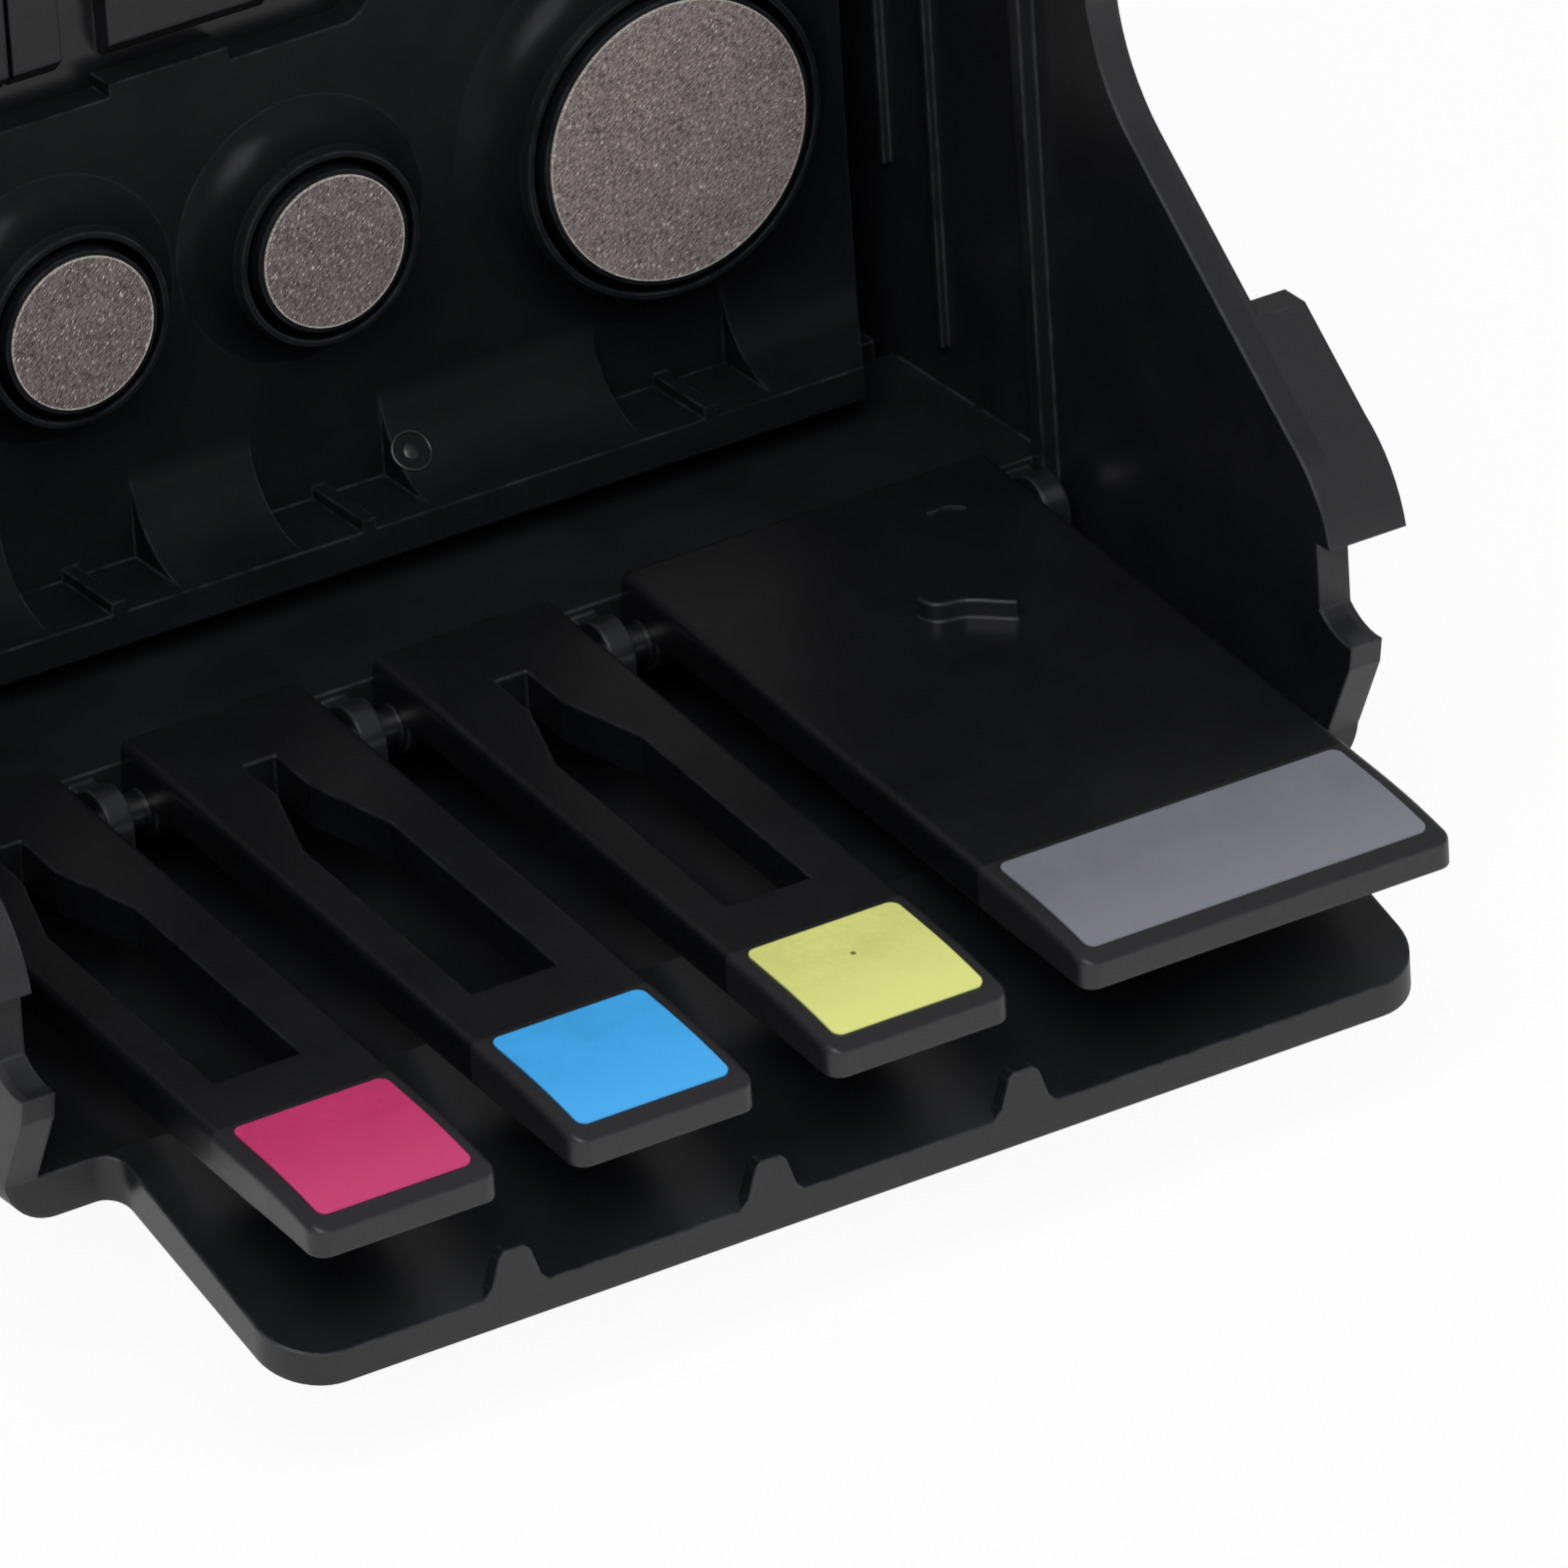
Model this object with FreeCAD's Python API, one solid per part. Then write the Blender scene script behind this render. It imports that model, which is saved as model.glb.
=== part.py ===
import FreeCAD, Part
import math
import os

# Four-tank inkjet printhead: a moulded basket with a port wall, release levers and a nozzle snout.
# Millimetres. +X to the right seen from the front, -Y to the front, +Z up.
# The origin is under the middle of the part, on the plane that the nozzle snout rests on.

V = FreeCAD.Vector

# Tank slots, across the basket
COLOR_SLOTS = 3
SLOT_PITCH = 16.0
BLACK_SLOT = 28.4
LEFT_ROOM = 3.6
RIGHT_ROOM = 2.0
WALL = 2.0
TAB_REACH = 3.0

# Heights, each measured up from the one before
SNOUT_H = 11.6
SNOUT_GAP = 0.2
FLOOR_T = 2.6
DECK_RISE = 6.4
LEDGE_RISE = 3.8
PORT_RISE = 16.4
WINDOW_RISE = 11.3
WINDOW_H = 11.7
TOP_RISE = 8.0

# Depths, from the lever tips back
LEVER_REACH = 44.4
HINGE_TO_FILTER = 12.6
MOUND_RISE = 3.7
PLATE_T = 2.0
MANIFOLD_DEPTH = 9.5
FLEX_T = 0.1
BOARD_T = 1.6
BOARD_GAP = 0.1
COVER_T = 2.0

# Basket frame, and how far cuts run past the surfaces that they open
OVERCUT = 1.0
DECK_T = 2.0
ROOF_T = 2.0
INSET = 0.5
LIP_HALF = 36.2
LIP_SETBACK = 1.9
LIP_RUN = 17.1
LIP_DROP = 5.8
LIP_T = 1.85
LIP_CORNER_R = 3.4
LIP_ROOT_R = 1.4
LIP_RIB_TOP = 1.9
LIP_RIB_BASE = 3.0
LIP_RIB_FLARE = 0.5
LIP_RIB_NIP = 0.35
LIP_RIB_H = 2.5
LIP_RIB_T = 0.9
LIP_RIB_SHIFT = -0.7
TAB_T = 2.0
TAB_RISE = 4.7
GUIDE_RIB_GAP = 0.05
GUIDE_RIB_W = 1.1
GUIDE_RIB_H = 1.0
GUIDE_RIB_R = 0.35
GUIDE_RIB_DROP = 2.0
THIN_RIB = 0.5
THIN_RIB_AHEAD = 0.7
THIN_RIB_BACK = 4.4
THIN_RIB_DROP = 7.9
EAR_T = 1.5
CORNER_R = 3.0
BOSS_REACH = 6.2
BOSS_GAP = 0.3
BOSS_H = 7.0
BOSS_INSET_Z = 5.5
WALL_TOP_R = 6.0

# Corners of the side walls' front edge: depth in front of the hinge, height over the floor
BROW = (4.5, 36.2)
BROW_END = (8.2, 29.4)
SLOPE_END = (22.9, 16.9)
CHEEK = (26.5, 11.5)
NECK = (25.2, 7.4)
TOE = (28.2, 6.3)
TOE_FACE = (27.9, 4.8)
BROW_BULGE = 0.7
SLOPE_BULGE = -0.65
NECK_BULGE = 0.35

# Port plate
MOUTH_BACK = 0.4
PLATE_LEFT_GAP = 0.5
PLATE_RIGHT_GAP = 3.2
PLATE_TOP_GAP = 0.2
LEDGE_T = 2.0
LEDGE_REACH = 5.3
LEDGE_CORNER = 3.0
PAD_W = 8.4
PAD_RIB_W = 0.9
PAD_RIB_H = 0.7
MOUND_FOOT = 3.4
BLACK_MOUND_FOOT = 3.9
MOUND_RIM = 0.6
MOUND_NOSE = 0.34

# Manifold and filters
COLOR_FILTER_R = 4.45
BLACK_FILTER_R = 8.25
FILTER_T = 0.4
FILTER_PROUD = 0.12
FILTER_GAP = 0.01
PIPE_RIM = 0.3
GROOVE = 0.58
PIPE_SEAT = 0.9
MANIFOLD_SIDE_GAP = 0.8
MANIFOLD_ROOF = 0.95
MANIFOLD_R = 1.5
CHAMBER_BACK = 3.0
DUCT_R = 1.6
DUCT_SETBACK = 0.6
DUCT_FOOT = 2.1
PASSAGE_R = 0.7
SNOUT_HALF = 28.0
SNOUT_DEPTH = 33.2
SNOUT_RIM = 3.0
SNOUT_R = 2.0
NOZZLE_ROOF_Z = 2.4

# Release levers
LEVER_GAP = 4.56
LEVER_T = 2.3
LEVER_TIP_T = 1.9
LEVER_SLOPE_DEG = 5.7
HINGE_DROP = 1.9
LEVER_RISE = 3.26
TRUNNION_R = 1.1
TRUNNION_DEPTH = 0.65
RUNNING_CLEARANCE = 0.05
HUB_R = 1.7
HUB_ROOT = 0.3
EAR_WALL = 0.9
HUB_GAP = 0.5
PAD_LENGTH = 7.0
PAD_R = 48.0
TIP_CHAMFER = 0.8
LEVER_EDGE_R = 0.5
LEVER_CORNER_R = 1.0
CATCH_START = 14.4
CATCH_SHOULDER = 13.0
CATCH_NECK = 4.0
CATCH_W = 5.4
CATCH_NECK_W = 2.0
CATCH_OFFSET = -0.4
RIDGE_T = 0.45
RIDGE_H = 1.1

# Bends of the wavy ridge on the wide lever: right of its middle, in front of the hinge
RIDGE_BENDS = [(-0.6, 10.8), (0.6, 12.1), (1.2, 12.2), (2.15, 12.7), (3.8, 14.0)]

# Stickers
LABEL_T = 0.12
LABEL_LENGTH = 9.0
LABEL_MARGIN = 0.97
LABEL_FRONT_GAP = 0.2
LABEL_CORNER_R = 0.6

# Chip contacts and their carriers
WINDOW_CORNER_R = 1.6
COLOR_WINDOW_LAP = 0.4
COLOR_WINDOW_END = 5.3
BLACK_WINDOW_HALF = 6.5
SILL_H = 0.8
SILL_HALF = 3.8
SILL_OFFSET = -2.8
CONTACT_OFFSET = -4.6
MAGENTA_CONTACT_SHIFT = 2.4
CARRIER_T = 1.5
CARRIER_LAP = 1.4
BLOCK_SETBACK = 0.5
BLOCK_GAP = 1.9
BLOCK_CHAMFER = 0.9
LONG_BLOCK_END = -1.0
TILE_GAP = 0.3
TILE_W = 3.04
LAST_BLOCK_START = -10.7
LAST_BLOCK_W = 10.1
CONTACT_COUNT = 4
CONTACT_PITCH = 1.3
CONTACT_W = 0.8
CONTACT_T = 0.25
CONTACT_PROUD = 0.9
CONTACT_SIDE_GAP = 0.1
CONTACT_SLOT_DEPTH = 1.2
CONTACT_SLOT_FOOT = 1.8
CONTACT_SLOT_TOP = 2.0
CONTACT_TAIL = 0.4
CONTACT_NOSE = 0.4

# Rear cover, contact board, flex and screws
BOARD_W = 48.0
BOARD_H = 30.0
BOARD_DROP = 8.0
BOARD_R = 1.0
COVER_WINDOW_LAP = 2.5
COVER_WINDOW_R = 1.5
PAD_COLUMNS = 12
PAD_ROWS = 4
GOLD_PAD = 2.0
GOLD_PAD_T = 0.06
FLEX_MARGIN = 4.0
FLEX_LAP = 6.0
SCREW_R = 1.0
SCREW_LENGTH = 8.0
SCREW_THREAD_GAP = 0.02
SCREW_TIP_GAP = 0.5
SCREW_HEAD_R = 2.2
SCREW_HEAD_H = 1.3
SCREW_CLEARANCE = 0.2
COUNTERBORE = 1.4
RECESS_W = 0.5
RECESS_LENGTH = 2.4
RECESS_DEPTH = 0.8

# Nozzle parts
CARRIER_PLATE_T = 1.3
CARRIER_PLATE_R = 1.0
CHIP_LENGTH = 21.0
CHIP_T = 0.6
BLACK_CHIP_W = 5.0
COLOR_CHIP_W = 7.0
BLACK_CHIP_X = 12.5
COLOR_CHIP_X = -8.5
INK_SLOT_PITCH = 2.0
INK_SLOT_W = 0.8
INK_SLOT_LENGTH = 16.0
NOZZLE_ROW_W = 0.25
NOZZLE_ROW_DEPTH = 0.12
NOZZLE_ROW_OFFSET = 0.45
NOZZLE_ROW_END = 1.5
FIT_GAP = 0.1
CHIP_GAP = 0.2

# Places across the part
INNER_HALF = (LEFT_ROOM + COLOR_SLOTS * SLOT_PITCH + BLACK_SLOT + RIGHT_ROOM) / 2
OUTER_HALF = INNER_HALF + WALL
YELLOW_X = LEFT_ROOM + (COLOR_SLOTS - 0.5) * SLOT_PITCH - INNER_HALF
BLACK_X = YELLOW_X + SLOT_PITCH / 2 + BLACK_SLOT / 2
BOUNDARIES = [YELLOW_X + SLOT_PITCH * (0.5 - k) for k in range(COLOR_SLOTS, -1, -1)]
BOUNDARIES.append(BLACK_X + BLACK_SLOT / 2)
MANIFOLD_HALF = INNER_HALF - BOSS_REACH - MANIFOLD_SIDE_GAP
COLOR_WINDOW_LEFT = BOUNDARIES[0] - COLOR_WINDOW_LAP
COLOR_WINDOW_RIGHT = YELLOW_X + COLOR_WINDOW_END
FLEX_W = 2 * (BLACK_CHIP_X + BLACK_CHIP_W / 2 + FLEX_MARGIN)

# Places up the part
WALL_BOTTOM_Z = SNOUT_H + SNOUT_GAP
FLOOR_TOP_Z = WALL_BOTTOM_Z + FLOOR_T
DECK_TOP_Z = FLOOR_TOP_Z + DECK_RISE
LEDGE_TOP_Z = DECK_TOP_Z + LEDGE_RISE
PORT_Z = LEDGE_TOP_Z + PORT_RISE
WINDOW_BOTTOM_Z = PORT_Z + WINDOW_RISE
WINDOW_TOP_Z = WINDOW_BOTTOM_Z + WINDOW_H
TOP_Z = WINDOW_TOP_Z + TOP_RISE
MANIFOLD_TOP_Z = PORT_Z + BLACK_FILTER_R + MANIFOLD_ROOF
DUCT_FOOT_Z = SNOUT_H + DUCT_FOOT
BOARD_BOTTOM_Z = PORT_Z - BOARD_DROP
HINGE_Z = DECK_TOP_Z - HINGE_DROP
LEVER_REAR_TOP_Z = HINGE_Z + LEVER_RISE

# Places from front to back, with the part's middle at zero
BACK_STACK = MOUND_RISE + PLATE_T + MANIFOLD_DEPTH + FLEX_T + BOARD_T + BOARD_GAP + COVER_T
REAR_Y = (LEVER_REACH + HINGE_TO_FILTER + BACK_STACK) / 2
FRONT_Y = -REAR_Y
HINGE_Y = FRONT_Y + LEVER_REACH
FILTER_Y = HINGE_Y + HINGE_TO_FILTER
WALL_FACE_Y = FILTER_Y + MOUND_RISE
PLATE_BACK_Y = WALL_FACE_Y + PLATE_T
MANIFOLD_BACK_Y = PLATE_BACK_Y + MANIFOLD_DEPTH
COVER_FRONT_Y = REAR_Y - COVER_T
LIP_FRONT_Y = FRONT_Y + LIP_SETBACK
FLOOR_FRONT_Y = LIP_FRONT_Y + LIP_RUN
LEDGE_FRONT_Y = WALL_FACE_Y - LEDGE_REACH
DECK_FRONT_Y = HINGE_Y + HUB_R + HUB_GAP
GUIDE_RIB_Y = DECK_FRONT_Y - GUIDE_RIB_GAP - GUIDE_RIB_W / 2
BOSS_FRONT_Y = PLATE_BACK_Y + CARRIER_T + BOSS_GAP
PAD_START_Y = FRONT_Y + PAD_LENGTH
CATCH_FRONT_Y = FRONT_Y + CATCH_START
CATCH_SHOULDER_Y = HINGE_Y - CATCH_SHOULDER
CATCH_NECK_Y = HINGE_Y - CATCH_NECK
SNOUT_FRONT_Y = MANIFOLD_BACK_Y - SNOUT_DEPTH
NOZZLE_MIDDLE_Y = (SNOUT_FRONT_Y + MANIFOLD_BACK_Y) / 2
LEVER_TAN = math.tan(math.radians(LEVER_SLOPE_DEG))

# Each slot: colour name, centre, slot width and filter radius
SLOTS = [
    ("magenta", YELLOW_X - 2 * SLOT_PITCH, SLOT_PITCH, COLOR_FILTER_R),
    ("cyan", YELLOW_X - SLOT_PITCH, SLOT_PITCH, COLOR_FILTER_R),
    ("yellow", YELLOW_X, SLOT_PITCH, COLOR_FILTER_R),
    ("black", BLACK_X, BLACK_SLOT, BLACK_FILTER_R),
]


def box(x0, x1, y0, y1, z0, z1):
    """A block between two corners."""
    return Part.makeBox(x1 - x0, y1 - y0, z1 - z0, V(x0, y0, z0))


def rod(radius, length, base, direction):
    """A cylinder from a base point along a direction."""
    return Part.makeCylinder(radius, length, base, direction)


def join(first, *others):
    """One solid from several that touch."""
    return first.multiFuse(list(others)).removeSplitter()


def wire(*edges):
    """A closed wire from edges and pairs of points."""
    return Part.Wire(list(edges))


def line(a, b):
    return Part.LineSegment(a, b).toShape()


def arc(a, through, b):
    return Part.Arc(a, through, b).toShape()


def yz(y, z, x=0.0):
    return V(x, y, z)


def outline_yz(points, x0, x1):
    """A straight-sided outline in the side view, extruded across the part."""
    corners = [yz(y, z, x0) for y, z in points]
    face = Part.Face(Part.makePolygon(corners + corners[:1]))
    return face.extrude(V(x1 - x0, 0, 0))


def rounded_slab(x0, x1, y0, y1, z0, z1, radius, direction="Y"):
    """A block whose four edges along one direction are rounded."""
    solid = box(x0, x1, y0, y1, z0, z1)
    pick = {"X": V(1, 0, 0), "Y": V(0, 1, 0), "Z": V(0, 0, 1)}[direction]
    edges = [e for e in solid.Edges if abs(e.tangentAt(e.FirstParameter).dot(pick)) > 0.99]
    return solid.makeFillet(radius, edges)


def lever_top_z(y):
    """Height of the flat part of a lever's top face."""
    return LEVER_REAR_TOP_Z - (HINGE_Y - y) * LEVER_TAN


def front_corner(corner, x=0.0, back=0.0):
    """A named corner of the side walls' front edge, as a point at x, moved back by a distance."""
    return yz(HINGE_Y - corner[0] + back, FLOOR_TOP_Z + corner[1], x)


def bulged(start, end, bulge, x=0.0, back=0.0):
    """An arc between two named corners, bulging to the left of its chord."""
    run = end[0] - start[0]
    rise = end[1] - start[1]
    length = math.hypot(run, rise)
    middle = ((start[0] + end[0]) / 2 + rise / length * bulge,
              (start[1] + end[1]) / 2 - run / length * bulge)
    return arc(front_corner(start, x, back), front_corner(middle, x, back), front_corner(end, x, back))


def side_wall(x0, x1):
    """One side wall, cut to the stepped and sloping front edge."""
    rear = COVER_FRONT_Y
    brow_y = HINGE_Y - BROW[0]
    corner_start = yz(brow_y, TOP_Z - WALL_TOP_R, x0)
    corner_end = yz(brow_y + WALL_TOP_R, TOP_Z, x0)
    drop = WALL_TOP_R * (1 - math.sqrt(0.5))
    corner_mid = yz(brow_y + drop, TOP_Z - drop, x0)
    step = (NECK[0], CHEEK[1])
    edges = [
        line(yz(rear, WALL_BOTTOM_Z, x0), yz(rear, TOP_Z, x0)),
        line(yz(rear, TOP_Z, x0), corner_end),
        arc(corner_end, corner_mid, corner_start),
        line(corner_start, front_corner(BROW, x0)),
        bulged(BROW, BROW_END, BROW_BULGE, x0),
        line(front_corner(BROW_END, x0), front_corner(SLOPE_END, x0)),
        bulged(SLOPE_END, CHEEK, SLOPE_BULGE, x0),
        line(front_corner(CHEEK, x0), front_corner(step, x0)),
        line(front_corner(step, x0), front_corner(NECK, x0)),
        bulged(NECK, TOE, NECK_BULGE, x0),
        line(front_corner(TOE, x0), front_corner(TOE_FACE, x0)),
        line(front_corner(TOE_FACE, x0), yz(FLOOR_FRONT_Y, FLOOR_TOP_Z, x0)),
        line(yz(FLOOR_FRONT_Y, FLOOR_TOP_Z, x0), yz(FLOOR_FRONT_Y, WALL_BOTTOM_Z, x0)),
        line(yz(FLOOR_FRONT_Y, WALL_BOTTOM_Z, x0), yz(rear, WALL_BOTTOM_Z, x0)),
    ]
    return Part.Face(wire(*edges)).extrude(V(x1 - x0, 0, 0))


def side_tab(side):
    """The outward flange that follows the lower half of a side wall's slope."""
    slope = (BROW_END[0] - SLOPE_END[0]) / (BROW_END[1] - SLOPE_END[1])
    start = (SLOPE_END[0] + TAB_RISE * slope, SLOPE_END[1] + TAB_RISE)
    x0 = side * (OUTER_HALF - INSET)
    x1 = side * (OUTER_HALF + TAB_REACH)
    edges = [
        line(front_corner(start, x0, TAB_T), front_corner(start, x0)),
        line(front_corner(start, x0), front_corner(SLOPE_END, x0)),
        bulged(SLOPE_END, CHEEK, SLOPE_BULGE, x0),
        line(front_corner(CHEEK, x0), front_corner(CHEEK, x0, TAB_T)),
        bulged(CHEEK, SLOPE_END, -SLOPE_BULGE, x0, TAB_T),
        line(front_corner(SLOPE_END, x0, TAB_T), front_corner(start, x0, TAB_T)),
    ]
    return Part.Face(wire(*edges)).extrude(V(x1 - x0, 0, 0))


def lip_outline():
    """The lip seen from above: rounded front corners, and coved roots where it leaves the floor."""
    low = FLOOR_TOP_Z - TOP_Z
    rear = FLOOR_FRONT_Y + WALL
    edges = [line(V(LIP_HALF + LIP_ROOT_R, rear, low), V(-LIP_HALF - LIP_ROOT_R, rear, low))]
    for side in (-1, 1):
        root = V(side * (LIP_HALF + LIP_ROOT_R), FLOOR_FRONT_Y, low)
        root_end = V(side * LIP_HALF, FLOOR_FRONT_Y - LIP_ROOT_R, low)
        root_lift = LIP_ROOT_R * math.sqrt(0.5)
        root_mid = V(root.x - side * root_lift, root_end.y + root_lift, low)
        corner = V(side * LIP_HALF, LIP_FRONT_Y + LIP_CORNER_R, low)
        corner_end = V(side * (LIP_HALF - LIP_CORNER_R), LIP_FRONT_Y, low)
        lift = LIP_CORNER_R * math.sqrt(0.5)
        corner_mid = V(corner_end.x + side * lift, corner.y - lift, low)
        edges += [
            line(V(root.x, rear, low), root),
            arc(root, root_mid, root_end),
            line(root_end, corner),
            arc(corner, corner_mid, corner_end),
        ]
    reach = LIP_HALF - LIP_CORNER_R
    edges.append(line(V(-reach, LIP_FRONT_Y, low), V(reach, LIP_FRONT_Y, low)))
    return Part.Face(wire(*Part.__sortEdges__(edges))).extrude(V(0, 0, 2 * TOP_Z))


def lip():
    """The sloping plate in front of the floor, thinner to the front, with three ribs on its edge."""
    lip_top = FLOOR_TOP_Z - LIP_DROP
    rise = [
        (FLOOR_FRONT_Y + WALL, FLOOR_TOP_Z),
        (FLOOR_FRONT_Y, FLOOR_TOP_Z),
        (LIP_FRONT_Y, lip_top),
        (LIP_FRONT_Y, lip_top - LIP_T),
        (FLOOR_FRONT_Y, WALL_BOTTOM_Z),
        (FLOOR_FRONT_Y + WALL, WALL_BOTTOM_Z),
    ]
    plate = outline_yz(rise, -OUTER_HALF, OUTER_HALF).common(lip_outline())
    root = lip_top - LIP_T / 2
    shoulder = lip_top + LIP_RIB_H / 5
    top = lip_top + LIP_RIB_H
    half = [
        (LIP_RIB_BASE / 2 + LIP_RIB_FLARE, root),
        (LIP_RIB_BASE / 2 + LIP_RIB_FLARE, lip_top),
        (LIP_RIB_BASE / 2, shoulder),
        (LIP_RIB_TOP / 2, top - LIP_RIB_NIP),
        (LIP_RIB_TOP / 2 - LIP_RIB_NIP, top),
    ]
    for boundary in BOUNDARIES[1:-1]:
        x = boundary + LIP_RIB_SHIFT
        corners = [V(x - out, LIP_FRONT_Y, z) for out, z in half]
        corners += [V(x + out, LIP_FRONT_Y, z) for out, z in reversed(half)]
        face = Part.Face(Part.makePolygon(corners + corners[:1]))
        plate = plate.fuse(face.extrude(V(0, LIP_RIB_T, 0)))
    return plate


def ears():
    """Webs under the deck between the slots, each ending in a bearing for the levers' trunnions."""
    solids = []
    low = FLOOR_TOP_Z - INSET
    front = HINGE_Y - TRUNNION_R - EAR_WALL
    for x in BOUNDARIES:
        x0 = x - EAR_T / 2
        x1 = x + EAR_T / 2
        solids.append(box(x0, x1, HINGE_Y, PLATE_BACK_Y - PLATE_T, low, DECK_TOP_Z - INSET))
        solids.append(box(x0, x1, front, HINGE_Y, low, HINGE_Z))
        solids.append(rod(TRUNNION_R + EAR_WALL, EAR_T, V(x0, HINGE_Y, HINGE_Z), V(1, 0, 0)))
    return solids


def wall_ribs(side):
    """The guide rib and the two thin ribs on the inside of a side wall."""
    root = side * (INNER_HALF + INSET)
    crest = sorted([root, side * (INNER_HALF - GUIDE_RIB_H)])
    thin = sorted([root, side * (INNER_HALF - THIN_RIB)])
    half = GUIDE_RIB_W / 2
    guide = rounded_slab(crest[0], crest[1], GUIDE_RIB_Y - half, GUIDE_RIB_Y + half,
                         DECK_TOP_Z - GUIDE_RIB_DROP, TOP_Z - WALL_TOP_R, GUIDE_RIB_R, "X")
    front = FILTER_Y - THIN_RIB_AHEAD
    back = FILTER_Y + THIN_RIB_BACK
    roof = TOP_Z - ROOF_T
    return [
        guide,
        box(thin[0], thin[1], front, front + THIN_RIB, LEDGE_TOP_Z - LEDGE_T / 2, roof),
        box(thin[0], thin[1], back, back + THIN_RIB, PORT_Z - THIN_RIB_DROP, roof),
    ]


def screw_bosses():
    """The four blocks that the rear screws bite into, one to each corner."""
    solids = []
    half = BOSS_H / 2
    for side in (1, -1):
        ends = sorted([side * (INNER_HALF + INSET), side * (INNER_HALF - BOSS_REACH)])
        for z in (WALL_BOTTOM_Z + BOSS_INSET_Z, TOP_Z - BOSS_INSET_Z):
            solids.append(box(ends[0], ends[1], BOSS_FRONT_Y, COVER_FRONT_Y, z - half, z + half))
    return solids


def frame():
    """The basket: side walls, floor, deck, roof, lip, tabs, ribs, bearings and screw bosses."""
    walls = [side_wall(INNER_HALF, OUTER_HALF), side_wall(-OUTER_HALF, -INNER_HALF)]
    across = INNER_HALF + INSET
    floor_rear = PLATE_BACK_Y - SNOUT_GAP
    floor = box(-across, across, FLOOR_FRONT_Y, floor_rear, WALL_BOTTOM_Z, FLOOR_TOP_Z)
    deck = box(-across, across, DECK_FRONT_Y, floor_rear, DECK_TOP_Z - DECK_T, DECK_TOP_Z)
    roof = box(-across, across, WALL_FACE_Y - WALL, COVER_FRONT_Y, TOP_Z - ROOF_T, TOP_Z)
    wing = MANIFOLD_HALF + SNOUT_GAP
    wings = [box(a, b, floor_rear - INSET, COVER_FRONT_Y, WALL_BOTTOM_Z, FLOOR_TOP_Z)
             for a, b in ((-across, -wing), (wing, across))]
    shell = rounded_slab(-OUTER_HALF, OUTER_HALF, FRONT_Y, COVER_FRONT_Y, WALL_BOTTOM_Z, TOP_Z, CORNER_R)
    tub = join(*(walls + [floor, deck, roof] + wings)).common(shell)
    body = [lip(), side_tab(1), side_tab(-1)] + ears() + wall_ribs(1) + wall_ribs(-1) + screw_bosses()
    solid = join(tub, *body)
    cuts = [rod(TRUNNION_R + RUNNING_CLEARANCE, 2 * INNER_HALF, V(-INNER_HALF, HINGE_Y, HINGE_Z), V(1, 0, 0))]
    for x, z in screw_places():
        cuts.append(rod(SCREW_R, SCREW_LENGTH + SCREW_TIP_GAP, V(x, COVER_FRONT_Y, z), V(0, -1, 0)))
    return solid.cut(cuts).removeSplitter()


def screw_places():
    """Centres of the four rear screws."""
    x = INNER_HALF - BOSS_REACH / 2
    low = WALL_BOTTOM_Z + BOSS_INSET_Z
    high = TOP_Z - BOSS_INSET_Z
    return [(-x, low), (x, low), (-x, high), (x, high)]


def mound(x, filter_r, foot):
    """The flared collar round a port, hollow for the standpipe."""
    mouth_r = filter_r + PIPE_RIM + GROOVE
    rim_r = mouth_r + MOUND_RIM
    foot_r = filter_r + foot
    front = FILTER_Y + MOUTH_BACK
    back = WALL_FACE_Y + PLATE_T / 2

    def at(r, y):
        return V(x + r, y, PORT_Z)

    waist = at(rim_r + (foot_r - rim_r) * 0.28, front + (WALL_FACE_Y - front) * 0.68)
    shoulder = front + MOUND_NOSE * 1.5
    edges = [
        line(at(mouth_r, back), at(mouth_r, front)),
        line(at(mouth_r, front), at(mouth_r + MOUND_NOSE, front)),
        line(at(mouth_r + MOUND_NOSE, front), at(rim_r, shoulder)),
        arc(at(rim_r, shoulder), waist, at(foot_r, WALL_FACE_Y)),
        line(at(foot_r, WALL_FACE_Y), at(foot_r, back)),
        line(at(foot_r, back), at(mouth_r, back)),
    ]
    return Part.Face(wire(*edges)).revolve(V(x, 0, PORT_Z), V(0, 1, 0), 360)


def window_cut(x0, x1):
    """A window through the port plate, with rounded corners."""
    return rounded_slab(x0, x1, WALL_FACE_Y - OVERCUT, PLATE_BACK_Y + OVERCUT, WINDOW_BOTTOM_Z, WINDOW_TOP_Z,
                        WINDOW_CORNER_R)


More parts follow.
